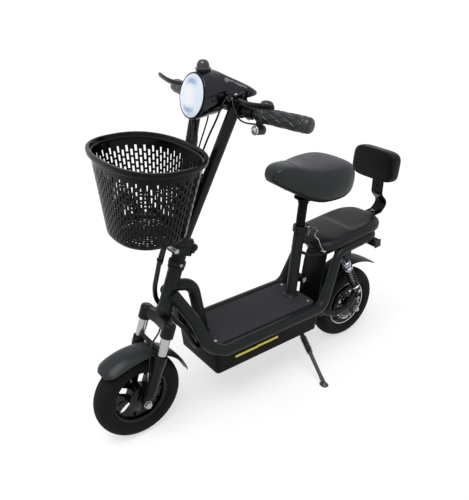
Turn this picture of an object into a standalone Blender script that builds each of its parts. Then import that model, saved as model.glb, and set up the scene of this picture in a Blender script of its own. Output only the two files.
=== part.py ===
"""Seated electric scooter: a step-through deck between two small wheels, a folding V-shaped stem
with a bar, headlight and basket, a saddle on a post, and a passenger seat with a backrest.

Metres, +Z up, front towards -Y, the rider's left at +X. The origin is on the floor, midway
along the scooter. at() takes lengths measured back from the front axle.
"""

import math

import bmesh
import bpy
from mathutils import Matrix, Vector

# Wheels and wheelbase
TYRE_RADIUS = 0.1275
TYRE_HALF_WIDTH = 0.032
RIM_RADIUS = 0.083
WHEELBASE = 0.807
FRONT_END = -TYRE_RADIUS
REAR_END = 0.9595

# Steering
RAKE = math.radians(20.0)
FORK_OFFSET = 0.015
LEG_SPACING = 0.0585
HEAD_RADIUS = 0.0195
STEERER_RADIUS = 0.0143
STANCHION_RADIUS = 0.0130
LEG_RADIUS = 0.0165
FORK_TRAVEL = 0.030

# Frame tubes and deck
FRAME_TUBE_RADIUS = 0.0170
RAIL_X = 0.095
RAIL_Z = 0.2245
RACK_X = 0.082
BEND_RADIUS = 0.040
DECK_FRONT = 0.200
DECK_REAR = 0.600
DECK_BOTTOM = 0.149
PLATE_TOP = 0.2320
MAT_TOP = 0.2415

# Stem, bar and basket
STEM_TUBE_RADIUS = 0.0145
BAR_RADIUS = 0.0111
BAR_HALF_LENGTH = 0.275
GRIP_RADIUS = 0.0185
BAR_HEIGHT = 0.886
BAR_Y = 0.293
BASKET_RIM = 0.808
BASKET_BASE = 0.600
BASKET_WALL = 0.0030

# Seats
SEAT_LEAN = math.radians(5.9)
SEAT_TUBE_RADIUS = 0.0170
SEAT_POST_RADIUS = 0.0143

# Rear suspension
SWING_PIVOT = (0.618, 0.191)
SHOCK_X = 0.080
SHOCK_TOP = (0.710, 0.356)
SHOCK_FOOT = (0.781, 0.221)

# Radius of the swing arm's stub pins
PIVOT_PIN = 0.0052

# Touching pieces keep this gap, and parts that slide or turn in each other keep the running gap.
GAP = 0.0003
RUNNING_GAP = 0.0004

MIDWAY = (FRONT_END + REAR_END) / 2
LEFT = 1
RIGHT = -1
SIDES = ((LEFT, "left"), (RIGHT, "right"))
ACROSS = Vector((1, 0, 0))
UPWARD = Vector((0, 0, 1))
STEER_AXIS = Vector((0, math.sin(RAKE), math.cos(RAKE)))
STEER_FORWARD = Vector((0, -math.cos(RAKE), math.sin(RAKE)))
SEAT_AXIS = Vector((0, math.sin(SEAT_LEAN), math.cos(SEAT_LEAN)))


def at(x, y, z):
    """A point whose y is measured back from the front axle."""
    return Vector((x, y - MIDWAY, z))


def on_fork(height, x=0.0):
    """A point of the fork legs' plane, this far above the axle along the rake."""
    return at(x, 0, TYRE_RADIUS) + STEER_AXIS * height


def on_steerer(height, forward=0.0, x=0.0):
    """A point this far up the steering axis from the axle's level, and forward of it."""
    return on_fork(height, x) + STEER_FORWARD * (forward - FORK_OFFSET)


def clear_scene():
    for obj in list(bpy.data.objects):
        bpy.data.objects.remove(obj, do_unlink=True)


def add_object(name, mesh_source, pivot, colour, roughness, metallic=0.0):
    """An object from a bmesh in world space, with its origin at pivot and its own material."""
    material = bpy.data.materials.new(name)
    material.use_nodes = True
    shader = material.node_tree.nodes["Principled BSDF"]
    shader.inputs["Base Color"].default_value = (*colour, 1.0)
    shader.inputs["Roughness"].default_value = roughness
    shader.inputs["Metallic"].default_value = metallic
    bmesh.ops.translate(mesh_source, verts=mesh_source.verts, vec=-pivot)
    mesh = bpy.data.meshes.new(name)
    mesh_source.to_mesh(mesh)
    mesh_source.free()
    mesh.materials.append(material)
    mesh.shade_smooth()
    mesh.set_sharp_from_angle(angle=math.radians(35))
    obj = bpy.data.objects.new(name, mesh)
    obj.location = pivot
    bpy.context.scene.collection.objects.link(obj)
    return obj


def aimed(shape, base, direction):
    """Moves a shape made along +Z so that it stands at base and points in direction."""
    turn = UPWARD.rotation_difference(direction).to_matrix().to_4x4()
    shape.transform(Matrix.Translation(base) @ turn)
    return shape


def turned(profile, base, direction, steps=16, hollow=False, start=0.0):
    """A solid of revolution. The profile is (radius, distance along the axis) pairs; a hollow
    one is a closed ring of them, and any other is closed onto the axis."""
    if not hollow:
        profile = [(0.0, profile[0][1]), *profile, (0.0, profile[-1][1])]
    shape = bmesh.new()
    points = [shape.verts.new((radius, 0, distance)) for radius, distance in profile]
    edges = [shape.edges.new(pair) for pair in zip(points, points[1:])]
    if hollow:
        edges.append(shape.edges.new((points[-1], points[0])))
    bmesh.ops.spin(
        shape,
        geom=points + edges,
        cent=(0, 0, 0),
        axis=(0, 0, 1),
        angle=math.tau,
        steps=steps,
        use_merge=True,
    )
    bmesh.ops.remove_doubles(shape, verts=shape.verts, dist=1e-6)
    bmesh.ops.recalc_face_normals(shape, faces=shape.faces)
    shape.transform(Matrix.Rotation(start, 4, "Z"))
    return aimed(shape, base, direction)


def rod(start, end, radius, steps=10):
    """A plain round bar from start to end."""
    return turned([(radius, 0), (radius, (end - start).length)], start, end - start, steps)


def bent(corners, radius, finest=math.radians(23)):
    """A bent tube's centre line: each inner corner becomes an arc of the bend radius."""
    route = [corners[0]]
    for before, corner, after in zip(corners, corners[1:], corners[2:]):
        inward = (before - corner).normalized()
        outward = (after - corner).normalized()
        half = inward.angle(outward) / 2
        reach = radius / math.tan(half)
        centre = corner + (inward + outward).normalized() * radius / math.sin(half)
        first = corner + inward * reach - centre
        last = corner + outward * reach - centre
        turn = first.angle(last)
        steps = max(1, math.ceil(turn / finest))
        for step in range(steps + 1):
            share = step / steps
            blend = first * math.sin((1 - share) * turn) + last * math.sin(share * turn)
            route.append(centre + blend / math.sin(turn))
    route.append(corners[-1])
    return route


def smooth(points, steps=4):
    """A Catmull-Rom curve through the points, for cables."""
    padded = [2 * points[0] - points[1], *points, 2 * points[-1] - points[-2]]
    route = []
    for a, b, c, d in zip(padded, padded[1:], padded[2:], padded[3:]):
        for step in range(steps):
            t = step / steps
            route.append(
                0.5 * (2 * b + (c - a) * t + (2 * a - 5 * b + 4 * c - d) * t**2
                       + (3 * b - a - 3 * c + d) * t**3)
            )
    route.append(points[-1])
    return route


def swept(route, radius, resolution=3):
    """A round bar along a route: a poly curve with a bevel and filled caps, as a bmesh."""
    curve = bpy.data.curves.new("route", "CURVE")
    curve.dimensions = "3D"
    curve.bevel_depth = radius
    curve.bevel_resolution = resolution
    curve.use_fill_caps = True
    spline = curve.splines.new("POLY")
    spline.points.add(len(route) - 1)
    for point, place in zip(spline.points, route):
        point.co = (*place, 1)
    guide = bpy.data.objects.new("route", curve)
    bpy.context.scene.collection.objects.link(guide)
    graph = bpy.context.evaluated_depsgraph_get()
    shape = bmesh.new()
    mesh = bpy.data.meshes.new_from_object(guide.evaluated_get(graph))
    shape.from_mesh(mesh)
    bpy.data.objects.remove(guide, do_unlink=True)
    bpy.data.meshes.remove(mesh)
    bmesh.ops.remove_doubles(shape, verts=shape.verts, dist=1e-5)
    bmesh.ops.recalc_face_normals(shape, faces=shape.faces)
    return shape


def lofted(rings):
    """A closed solid through rings of equally many points, flat at both ends."""
    shape = bmesh.new()
    rows = [[shape.verts.new(point) for point in ring] for ring in rings]
    count = len(rows[0])
    for low, high in zip(rows, rows[1:]):
        for i in range(count):
            j = (i + 1) % count
            shape.faces.new((low[i], low[j], high[j], high[i]))
    shape.faces.new(reversed(rows[0]))
    shape.faces.new(rows[-1])
    bmesh.ops.recalc_face_normals(shape, faces=shape.faces)
    return shape


def superellipse(centre, across, along, half_a, half_b, power, count):
    """Points of a rounded-rectangle outline in the plane of the two directions."""
    points = []
    for i in range(count):
        angle = math.tau * (i + 0.5) / count
        c, s = math.cos(angle), math.sin(angle)
        a = half_a * math.copysign(abs(c) ** (2 / power), c)
        b = half_b * math.copysign(abs(s) ** (2 / power), s)
        points.append(centre + across * a + along * b)
    return points


def block(centre, size, turn=None, bevel=0.002):
    """A box with its edges rounded over, turned about its own centre."""
    shape = bmesh.new()
    bmesh.ops.create_cube(shape, size=1.0)
    bmesh.ops.scale(shape, vec=size, verts=shape.verts)
    if bevel:
        bmesh.ops.bevel(
            shape, geom=shape.edges, offset=bevel, segments=1, profile=0.7, affect="EDGES"
        )
    if turn:
        shape.transform(turn)
    bmesh.ops.translate(shape, verts=shape.verts, vec=centre)
    return shape


def prism(outline, start, sweep):
    """An outline pulled along a vector. The outline is points relative to start."""
    shape = bmesh.new()
    low = [shape.verts.new(start + point) for point in outline]
    high = [shape.verts.new(start + point + sweep) for point in outline]
    count = len(outline)
    for i in range(count):
        j = (i + 1) % count
        shape.faces.new((low[i], low[j], high[j], high[i]))
    shape.faces.new(reversed(low))
    shape.faces.new(high)
    bmesh.ops.recalc_face_normals(shape, faces=shape.faces)
    return shape


def combined(body, tool, operation):
    """The body with the tool joined on or cut away, by an exact Boolean."""
    objects = []
    for shape in (body, tool):
        mesh = bpy.data.meshes.new("shape")
        shape.to_mesh(mesh)
        shape.free()
        obj = bpy.data.objects.new("shape", mesh)
        bpy.context.scene.collection.objects.link(obj)
        objects.append(obj)
    target, other = objects
    modifier = target.modifiers.new("combine", "BOOLEAN")
    modifier.operation = operation
    modifier.object = other
    graph = bpy.context.evaluated_depsgraph_get()
    result = bmesh.new()
    result.from_object(target, graph)
    for obj in objects:
        mesh = obj.data
        bpy.data.objects.remove(obj, do_unlink=True)
        bpy.data.meshes.remove(mesh)
    bmesh.ops.remove_doubles(result, verts=result.verts, dist=2e-6)
    return result


def welded(body, *pieces):
    for piece in pieces:
        body = combined(body, piece, "UNION")
    return body


def cut(body, *tools):
    for tool in tools:
        body = combined(body, tool, "DIFFERENCE")
    return body


def mirrored(shape):
    """A copy of a shape for the other side of the scooter."""
    other = shape.copy()
    other.transform(Matrix.Scale(-1, 4, ACROSS))
    bmesh.ops.reverse_faces(other, faces=other.faces)
    return other


def rake_turn():
    """Turns a box so that its height lies along the steering axis."""
    return Matrix.Rotation(-RAKE, 4, "X")


# Colours as linear RGB
SATIN_BLACK = (0.012, 0.013, 0.014)
CHARCOAL = (0.022, 0.024, 0.027)
RUBBER = (0.016, 0.016, 0.018)
MAT_GREY = (0.045, 0.042, 0.050)
PLASTIC_BLACK = (0.008, 0.008, 0.009)
LEATHERETTE = (0.030, 0.031, 0.035)
CHROME = (0.62, 0.62, 0.63)
ZINC = (0.45, 0.45, 0.46)
LENS_WHITE = (0.75, 0.82, 0.95)
REFLECTOR_YELLOW = (0.75, 0.60, 0.06)
BATTERY_BLUE = (0.03, 0.07, 0.16)


# Head tube and the gooseneck tube behind it

HEAD_BOTTOM = 0.2515
HEAD_TOP = 0.3850
HEAD_CUP_RADIUS = 0.0225


def gooseneck_route():
    corners = [at(0, 0.128, 0.4285), at(0, 0.193, 0.4100), at(0, 0.2265, PLATE_TOP - 0.010)]
    return bent(corners, 0.046)


def head_tube():
    """The head tube with a bearing cup at each end, and the bent tube from it to the deck."""
    cup = 0.010
    bore = STEERER_RADIUS + RUNNING_GAP
    length = HEAD_TOP - HEAD_BOTTOM
    outside = [
        (HEAD_CUP_RADIUS, 0),
        (HEAD_CUP_RADIUS, cup),
        (HEAD_RADIUS, cup + 0.003),
        (HEAD_RADIUS, length - cup - 0.003),
        (HEAD_CUP_RADIUS, length - cup),
        (HEAD_CUP_RADIUS, length),
    ]
    core = [(HEAD_RADIUS - 0.001, 0.001), *outside[2:4], (HEAD_RADIUS - 0.001, length - 0.001)]
    tube = turned(core, on_steerer(HEAD_BOTTOM), STEER_AXIS)
    shape = welded(swept(gooseneck_route(), FRAME_TUBE_RADIUS), tube)
    ring = [*outside, (bore, length), (bore, 0)]
    shell = turned(ring, on_steerer(HEAD_BOTTOM), STEER_AXIS, hollow=True)
    shape = cut(
        shape,
        rod(on_steerer(HEAD_BOTTOM - 0.01), on_steerer(HEAD_TOP + 0.01), bore + 0.002, 16),
        block(at(0, 0.23, PLATE_TOP + GAP - 0.03), (0.1, 0.1, 0.06), bevel=0),
    )
    shape = welded(shell, shape)
    add_object("head_tube", shape, on_steerer(HEAD_BOTTOM), SATIN_BLACK, 0.4)


# Side rails: each runs from the head tube to the deck, along it, up and back as the rack


def rail_route(side):
    corners = [
        at(side * 0.015, 0.119, 0.412),
        at(side * 0.050, 0.166, 0.325),
        at(side * 0.084, 0.188, 0.247),
        at(side * RAIL_X, 0.232, RAIL_Z),
        at(side * RAIL_X, 0.609, RAIL_Z - 0.001),
        at(side * 0.0870, 0.652, 0.3200),
        at(side * RACK_X, 0.680, 0.3932),
        at(side * RACK_X, 0.848, 0.4086),
        at(side * GAP, 0.850, 0.4088),
    ]
    radii = [0.090, 0.050, 0.035, BEND_RADIUS, 0.060, BEND_RADIUS, 0.040]
    route = [corners[0]]
    for number, radius in enumerate(radii):
        route += bent(corners[number:number + 3], radius)[1:-1]
    return [*route, corners[-1]]


def rail_lugs(side):
    """What the rear end hangs on: a lug with a stub pin for the swing arm, one for the shock."""
    pivot = at(0, *SWING_PIVOT)
    lug = [Vector((0, -0.016, 0.034)), Vector((0, -0.011, -0.004)), Vector((0, 0.000, -0.010)),
           Vector((0, 0.010, -0.004)), Vector((0, 0.006, 0.034))]
    low = min(side * 0.0800, side * 0.0850)
    stub = turned(
        [(PIVOT_PIN, 0.0500), (PIVOT_PIN, 0.0785), (0.0085, 0.0787), (0.0085, 0.0820)],
        pivot, ACROSS * side, 10,
    )
    top = at(0, *SHOCK_TOP)
    ear = [Vector((0, -0.017, 0.040)), Vector((0, -0.0085, -0.003)), Vector((0, 0.000, -0.008)),
           Vector((0, 0.0085, -0.003)), Vector((0, 0.017, 0.040))]
    near = min(side * 0.0895, side * 0.0930)
    pin = rod(top + ACROSS * side * 0.0690, top + ACROSS * side * 0.0965, 0.0042, 10)
    return [
        prism(lug, pivot + ACROSS * low, ACROSS * 0.0050),
        stub,
        prism(ear, top + ACROSS * near, ACROSS * 0.0035),
        pin,
    ]


def side_rails():
    for side, word in SIDES:
        shape = welded(swept(rail_route(side), FRAME_TUBE_RADIUS), *rail_lugs(side))
        other_half = block(at(-side * 0.1, 0.5, 0.3), (0.2, 1.2, 0.5), bevel=0)
        bmesh.ops.translate(other_half, verts=other_half.verts, vec=(side * GAP / 2, 0, 0))
        shape = cut(
            shape,
            other_half,
            rod(on_steerer(0.20), on_steerer(0.45), HEAD_RADIUS + GAP, 16),
            swept(gooseneck_route(), FRAME_TUBE_RADIUS + GAP),
        )
        add_object(f"side_rail_{word}", shape, at(side * RAIL_X, 0.4, RAIL_Z), SATIN_BLACK, 0.4)


# Deck: a pressed tray that holds the battery, a steel plate over it, and a rubber mat


def deck_ring(inset, z, front, rear, half_width):
    centre = at(0, (front + rear) / 2, z)
    half_length = (rear - front) / 2 - inset
    return superellipse(centre, ACROSS, Vector((0, 1, 0)), half_width - inset, half_length, 10, 16)


def deck_tray():
    wall = 0.0025
    top = PLATE_TOP - 0.004 - GAP
    edge = DECK_BOTTOM + 0.012
    outside = [
        deck_ring(0.007, DECK_BOTTOM, DECK_FRONT + 0.010, DECK_REAR - 0.012, 0.092),
        deck_ring(0, edge, DECK_FRONT + 0.006, DECK_REAR - 0.008, 0.094),
        deck_ring(0, top, DECK_FRONT, DECK_REAR, 0.099),
    ]
    inside = [
        deck_ring(wall, top, DECK_FRONT, DECK_REAR, 0.099),
        deck_ring(wall, edge, DECK_FRONT + 0.006, DECK_REAR - 0.008, 0.094),
        deck_ring(0.008, DECK_BOTTOM + wall, DECK_FRONT + 0.011, DECK_REAR - 0.013, 0.091),
    ]
    shape = lofted([*outside, *inside])
    for side, _ in SIDES:
        shape = cut(shape, swept(rail_route(side), FRAME_TUBE_RADIUS + GAP))
    add_object("deck_tray", shape, at(0, 0.4, DECK_BOTTOM), SATIN_BLACK, 0.45)


def seat_foot_hole(low, high, radius):
    return rod(seat_line(low), seat_line(high), radius, 16)


def deck_plate():
    length = DECK_REAR - DECK_FRONT - 0.004
    centre = at(0, (DECK_FRONT + DECK_REAR) / 2, PLATE_TOP - 0.002)
    shape = block(centre, (2 * (RAIL_X - FRAME_TUBE_RADIUS - GAP), length, 0.004), bevel=0)
    for side, _ in SIDES:
        shape = cut(shape, swept(rail_route(side), FRAME_TUBE_RADIUS + GAP))
    add_object("deck_plate", shape, centre, SATIN_BLACK, 0.5, 0.3)


MAT_HALF_WIDTH = 0.0785
MAT_FRONT = 0.2065
MAT_REAR = 0.5950


def deck_mat():
    centre_y = (MAT_FRONT + MAT_REAR) / 2
    half_length = (MAT_REAR - MAT_FRONT) / 2
    rings = []
    for z, inset in ((PLATE_TOP + GAP, 0), (MAT_TOP - 0.002, 0), (MAT_TOP, 0.002)):
        half_width = MAT_HALF_WIDTH - inset
        centre = at(0, centre_y, z)
        rings.append(
            superellipse(centre, ACROSS, Vector((0, 1, 0)), half_width, half_length - inset, 12, 16)
        )
    shape = cut(
        lofted(rings),
        swept(gooseneck_route(), FRAME_TUBE_RADIUS + GAP),
        seat_foot_hole(-0.005, 0.03, SEAT_FLANGE_RADIUS + GAP),
    )
    for side, _ in SIDES:
        shape = cut(shape, swept(rail_route(side), FRAME_TUBE_RADIUS + GAP))
    add_object("deck_mat", shape, at(0, centre_y, PLATE_TOP), MAT_GREY, 0.8)


def battery_and_controller():
    floor = DECK_BOTTOM + 0.0025 + GAP
    battery = block(at(0, 0.345, floor + 0.029), (0.130, 0.240, 0.058), bevel=0.004)
    add_object("battery_pack", battery, at(0, 0.345, floor), BATTERY_BLUE, 0.5)
    controller = block(at(0, 0.523, floor + 0.018), (0.075, 0.095, 0.036), bevel=0.003)
    fins = [
        block(at(x, 0.523, floor + 0.038), (0.003, 0.090, 0.010), bevel=0)
        for x in (-0.024, 0.0, 0.024)
    ]
    add_object("controller", welded(controller, *fins), at(0, 0.523, floor), ZINC, 0.4, 0.9)


def reflectors():
    """A thin reflective strip on each side of the tray, in two lengths that meet in a notch."""
    for side, word in SIDES:
        lean = math.atan2(0.005, 0.06)
        turn = Matrix.Rotation(-side * lean, 4, "Y")
        centre_x = side * 0.0983
        rear_half = block(at(centre_x, 0.386, 0.1905), (0.0010, 0.079, 0.0065), turn, bevel=0)
        front_half = block(at(centre_x, 0.307, 0.1890), (0.0010, 0.080, 0.0065), turn, bevel=0)
        shape = welded(rear_half, front_half)
        add_object(f"reflector_{word}", shape, at(centre_x, 0.345, 0.190), REFLECTOR_YELLOW, 0.35)


# Seat tube, its thin loop tube, the clamp, the post and the saddle

SEAT_TUBE_LENGTH = 0.240
SEAT_FLANGE_RADIUS = 0.026
SEAT_BORE = SEAT_POST_RADIUS + RUNNING_GAP
POST_BOTTOM = 0.085
POST_TOP = 0.345


def seat_line(distance, x=0.0):
    """A point this far up the seat tube's axis from the deck plate."""
    foot = at(x, 0.5620, PLATE_TOP + 0.0055)
    return foot + SEAT_AXIS * distance


def seat_tube():
    profile = [
        (SEAT_FLANGE_RADIUS, 0),
        (SEAT_FLANGE_RADIUS, 0.004),
        (SEAT_TUBE_RADIUS + 0.003, 0.009),
        (SEAT_TUBE_RADIUS, 0.014),
        (SEAT_TUBE_RADIUS, SEAT_TUBE_LENGTH),
        (SEAT_BORE, SEAT_TUBE_LENGTH),
        (SEAT_BORE, 0.012),
    ]
    tube = turned(profile, seat_line(0), SEAT_AXIS)
    loops = []
    for side, _ in SIDES:
        corners = [
            seat_line(0.160, side * 0.0150),
            at(side * 0.038, 0.596, 0.3860),
            at(side * 0.0595, 0.648, 0.3875),
            at(side * 0.0595, 0.678, 0.3890),
        ]
        loops.append(swept(bent(corners, 0.020), 0.0050, 1))
    floor = block(seat_line(0) - Vector((0, 0, 0.02)), (0.2, 0.2, 0.04), bevel=0)
    top = PLATE_TOP + GAP
    bmesh.ops.translate(floor, verts=floor.verts, vec=(0, 0, top - seat_line(0).z))
    bore = rod(seat_line(0.0125), seat_line(SEAT_TUBE_LENGTH + 0.01), SEAT_BORE, 16)
    shape = cut(welded(tube, *loops), floor, bore)
    add_object("seat_tube", shape, seat_line(0), SATIN_BLACK, 0.4)


def seat_clamp():
    """A split collar round the top of the seat tube, drawn together by a bolt through two ears."""
    inner = SEAT_TUBE_RADIUS + GAP
    lip = 0.0015
    height = 0.020
    profile = [
        (inner, 0),
        (inner + 0.0045, 0),
        (inner + 0.0045, height),
        (SEAT_BORE + 0.0008, height),
        (SEAT_BORE + 0.0008, height - lip),
        (inner, height - lip),
    ]
    base = seat_line(SEAT_TUBE_LENGTH - height + lip + GAP)
    ring = turned(profile, base, SEAT_AXIS, hollow=True)
    lean = Matrix.Rotation(-SEAT_LEAN, 4, "X")
    ear_centre = base + SEAT_AXIS * (height / 2) + Vector((0, 0.0270, 0))
    ears = block(ear_centre, (0.014, 0.016, 0.016), lean, 0)
    slot = block(ear_centre, (0.0025, 0.026, 0.05), lean, 0)
    shape = cut(welded(ring, ears), slot, seat_foot_hole(0.1, 0.3, SEAT_TUBE_RADIUS + 0.0008))
    bolt = rod(ear_centre - ACROSS * 0.011, ear_centre + ACROSS * 0.013, 0.0035, 6)
    shape = welded(shape, bolt)
    add_object("seat_clamp", shape, base, SATIN_BLACK, 0.35, 0.4)


def seat_post():
    post = rod(seat_line(POST_BOTTOM), seat_line(POST_TOP), SEAT_POST_RADIUS, 16)
    add_object("seat_post", post, seat_line(POST_TOP), SATIN_BLACK, 0.3, 0.4)


# Stations along the saddle: y, half-width, lowest z and highest z
SADDLE_STATIONS = [
    (0.4550, 0.014, 0.6540, 0.6665),
    (0.4590, 0.024, 0.6450, 0.6780),
    (0.4720, 0.032, 0.6340, 0.6850),
    (0.5000, 0.038, 0.6180, 0.6870),
    (0.5300, 0.048, 0.6010, 0.6855),
    (0.5600, 0.064, 0.5835, 0.6840),
    (0.5900, 0.080, 0.5690, 0.6845),
    (0.6250, 0.0915, 0.5600, 0.6860),
    (0.6600, 0.0955, 0.5580, 0.6860),
    (0.6930, 0.0915, 0.5615, 0.6835),
    (0.7200, 0.0790, 0.5710, 0.6760),
    (0.7370, 0.0600, 0.5850, 0.6635),
    (0.7450, 0.0380, 0.6010, 0.6470),
]

# One side of the saddle's section from underneath to the top, as shares of half-width and height
SADDLE_SECTION = [
    (0.28, 0.00),
    (0.68, 0.05),
    (0.90, 0.24),
    (0.98, 0.50),
    (1.00, 0.70),
    (0.92, 0.88),
    (0.64, 0.97),
    (0.24, 1.00),
]


def saddle():
    """A wide moulded saddle with a narrow nose and deep sides, lofted from nose to tail."""
    outline = SADDLE_SECTION + [(-across, rise) for across, rise in reversed(SADDLE_SECTION)]
    rings = [
        [at(half_width * across, y, low + (high - low) * rise) for across, rise in outline]
        for y, half_width, low, high in SADDLE_STATIONS
    ]
    socket = rod(seat_line(0.2), seat_line(POST_TOP + GAP), SEAT_POST_RADIUS + GAP, 16)
    shape = cut(lofted(rings), socket)
    add_object("saddle", shape, seat_line(POST_TOP), LEATHERETTE, 0.5)


# Passenger seat: the rack's bed, the pad, and the backrest on its bent steel strip

BED_SLOPE = math.atan2(0.021, 0.243)


def on_rack(y, lift=0.0):
    """A point above the rack rails' centre plane at x = 0."""
    return at(0, y, 0.3916 + (y - 0.654) * math.tan(BED_SLOPE) + lift)


def rack_bed():
    """A steel plate between the rails, and a square cross tube under their rear end."""
    slope = Matrix.Rotation(BED_SLOPE, 4, "X")
    half_width = RACK_X - FRAME_TUBE_RADIUS - GAP
    plate = block(on_rack(0.745, 0.0), (2 * half_width, 0.126, 0.004), slope, 0)
    bar = block(on_rack(0.842, -0.0296), (0.196, 0.024, 0.024), slope, 0.003)
    web = block(on_rack(0.818, -0.0150), (0.090, 0.044, 0.004), Matrix.Rotation(-0.55, 4, "X"), 0)
    add_object("rack_bed", welded(plate, web, bar), on_rack(0.775), SATIN_BLACK, 0.4)


PAD_FRONT = 0.6180
PAD_REAR = 0.8880


def rear_seat_pad():
    """A long crowned cushion, round at the rear, with its sides drawn in above the rails."""
    centre = (PAD_FRONT + PAD_REAR) / 2
    half = (PAD_REAR - PAD_FRONT) / 2
    slope = math.tan(BED_SLOPE)
    rings = []
    for lift, half_width, trim, power in (
        (0.0045, 0.0700, 0.010, 4.5),
        (0.0180, 0.0740, 0.003, 4.2),
        (0.0300, 0.0740, 0.001, 4.0),
        (0.0400, 0.0700, 0.003, 3.6),
        (0.0460, 0.0610, 0.012, 3.4),
        (0.0490, 0.0420, 0.036, 3.0),
    ):
        middle = at(0, centre, 0)
        ring = superellipse(middle, ACROSS, Vector((0, 1, 0)), half_width, half - trim, power, 20)
        level = 0.3916 + (centre - 0.654) * slope + lift
        rings.append([Vector((p.x, p.y, level + (p.y - middle.y) * slope)) for p in ring])
    shape = lofted(rings)
    for side, _ in SIDES:
        shape = cut(shape, swept(rail_route(side), FRAME_TUBE_RADIUS + 0.001))
    shape = cut(shape, swept(bent(backrest_corners()[:3], 0.018), 0.0205, 1))
    shape = cut(shape, rod(seat_line(0.0), seat_line(0.40), SEAT_TUBE_RADIUS + 0.008, 12))
    add_object("rear_seat_pad", shape, on_rack(0.775), RUBBER, 0.55)


def backrest_corners():
    return [
        at(0, 0.838, 0.4286),
        at(0, 0.938, 0.4372),
        at(0, 0.966, 0.4640),
        at(0, 0.931, 0.5000),
        at(0, 0.9315, 0.6400),
    ]


def strip(corners, radius, half_width, thickness):
    """A flat strip of steel bent along a route in the middle plane."""
    route = bent(corners, radius)
    rings = []
    for i, point in enumerate(route):
        before = route[max(i - 1, 0)]
        after = route[min(i + 1, len(route) - 1)]
        normal = (after - before).normalized().cross(ACROSS)
        rings.append([
            point + ACROSS * x * half_width + normal * n * thickness / 2
            for x, n in ((-1, -1), (1, -1), (1, 1), (-1, 1))
        ])
    return lofted(rings)


def backrest():
    post = strip(backrest_corners(), 0.020, 0.018, 0.0050)
    bolts = [
        rod(at(0, y, 0.4266), at(0, y, 0.4356), 0.0055, 6)
        for y in (0.843, 0.857)
    ]
    add_object("backrest_post", welded(post, *bolts), at(0, 0.850, 0.4286), SATIN_BLACK, 0.35, 0.4)
    rings = []
    lean = Vector((0, 0.10, 0.995)).normalized()
    forward = lean.cross(ACROSS).normalized()
    centre = at(0, 0.9090, 0.6120)
    for depth, trim, power in (
        (-0.0190, 0.016, 4.0),
        (-0.0150, 0.004, 4.0),
        (-0.0050, 0.000, 3.6),
        (0.0080, 0.001, 3.4),
        (0.0160, 0.010, 3.2),
        (0.0195, 0.026, 3.0),
    ):
        middle = centre - forward * depth
        rings.append(superellipse(middle, ACROSS, lean, 0.0885 - trim, 0.0525 - trim, power, 18))
    post_room = block(at(0, 0.9440, 0.590), (0.0366, 0.0316, 0.1206), None, 0)
    add_object("backrest_pad", cut(lofted(rings), post_room), centre, LEATHERETTE, 0.5)


# Mudguards


def guard(axle, stations, thickness, arch=0.35, columns=6):
    """A curved mudguard round an axle. A station is (angle up from the rear, radius, half-width,
    how far the edges come down)."""
    outer_rows, inner_rows = [], []
    for angle, radius, half_width, drop in stations:
        outer, inner = [], []
        for i in range(columns + 1):
            share = 2 * i / columns - 1
            fall = drop * abs(share) ** (1 / arch)
            for row, reach in ((outer, radius), (inner, radius - thickness)):
                r = reach - fall
                y, z = r * math.cos(angle), r * math.sin(angle)
                narrower = half_width - (thickness if row is inner and drop > 0.006 else 0)
                row.append(axle + Vector((share * narrower, y, z)))
        outer_rows.append(outer)
        inner_rows.append(inner)
    return lofted([outer + inner[::-1] for outer, inner in zip(outer_rows, inner_rows)])


def front_fender():
    axle = at(0, 0, TYRE_RADIUS)
    top = 0.1480
    stations = [
        (math.radians(angle), radius, half_width, drop)
        for angle, radius, half_width, drop in (
            (132, top + 0.0040, 0.022, 0.006),
            (128, top + 0.0055, 0.036, 0.011),
            (122, top + 0.0058, 0.0425, 0.016),
            (108, top + 0.0040, 0.0435, 0.019),
            (92, top + 0.0014, 0.0420, 0.017),
            (74, top + 0.0007, 0.0395, 0.012),
            (50, top + 0.0015, 0.0370, 0.007),
            (32, top + 0.0040, 0.0330, 0.004),
            (16, top + 0.0090, 0.0240, 0.002),
            (4, top + 0.0150, 0.0080, 0.001),
        )
    ]
    shape = guard(axle, stations, 0.0025)
    add_object("front_fender", shape, axle, CHARCOAL, 0.45)


def rear_fender():
    axle = at(0, WHEELBASE, TYRE_RADIUS)
    stations = [
        (math.radians(angle), radius, 0.038 * width, drop)
        for angle, radius, width, drop in (
            (38, 0.1775, 0.55, 0.001),
            (45, 0.1740, 0.90, 0.002),
            (57, 0.1700, 1.0, 0.003),
            (74, 0.1675, 1.0, 0.004),
            (92, 0.1660, 1.0, 0.004),
            (110, 0.1650, 1.0, 0.004),
            (126, 0.1650, 1.0, 0.004),
            (138, 0.1660, 1.0, 0.004),
        )
    ]
    shape = guard(axle, stations, 0.0025)
    stay_y = 0.780
    foot = at(0, stay_y, TYRE_RADIUS + 0.1600)
    under_bed = on_rack(stay_y, -0.0020 - GAP)
    stay = block((foot + under_bed) / 2, (0.040, 0.018, (under_bed - foot).z + 0.004), bevel=0)
    slope = Matrix.Rotation(BED_SLOPE, 4, "X")
    bed_face = block(on_rack(stay_y, -0.002 - GAP + 0.02), (0.3, 0.3, 0.04), slope, 0)
    shape = cut(welded(shape, stay), bed_face)
    add_object("rear_fender", shape, axle, SATIN_BLACK, 0.5)


# Fork: a crown with its steerer, two chromed stanchions, and the sliding lowers with the axle

SHOULDER_LOW = 0.202
BRIDGE_LOW = 0.214
STANCHION_BOTTOM = 0.078
STANCHION_TOP = 0.236
LEG_TOP = 0.150


def circle_points(centre, radius, count=8):
    ring = []
    for i in range(count):
        angle = math.tau * i / count
        ring.append(centre + ACROSS * radius * math.cos(angle) + STEER_FORWARD * radius * math.sin(angle))
    return ring


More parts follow.
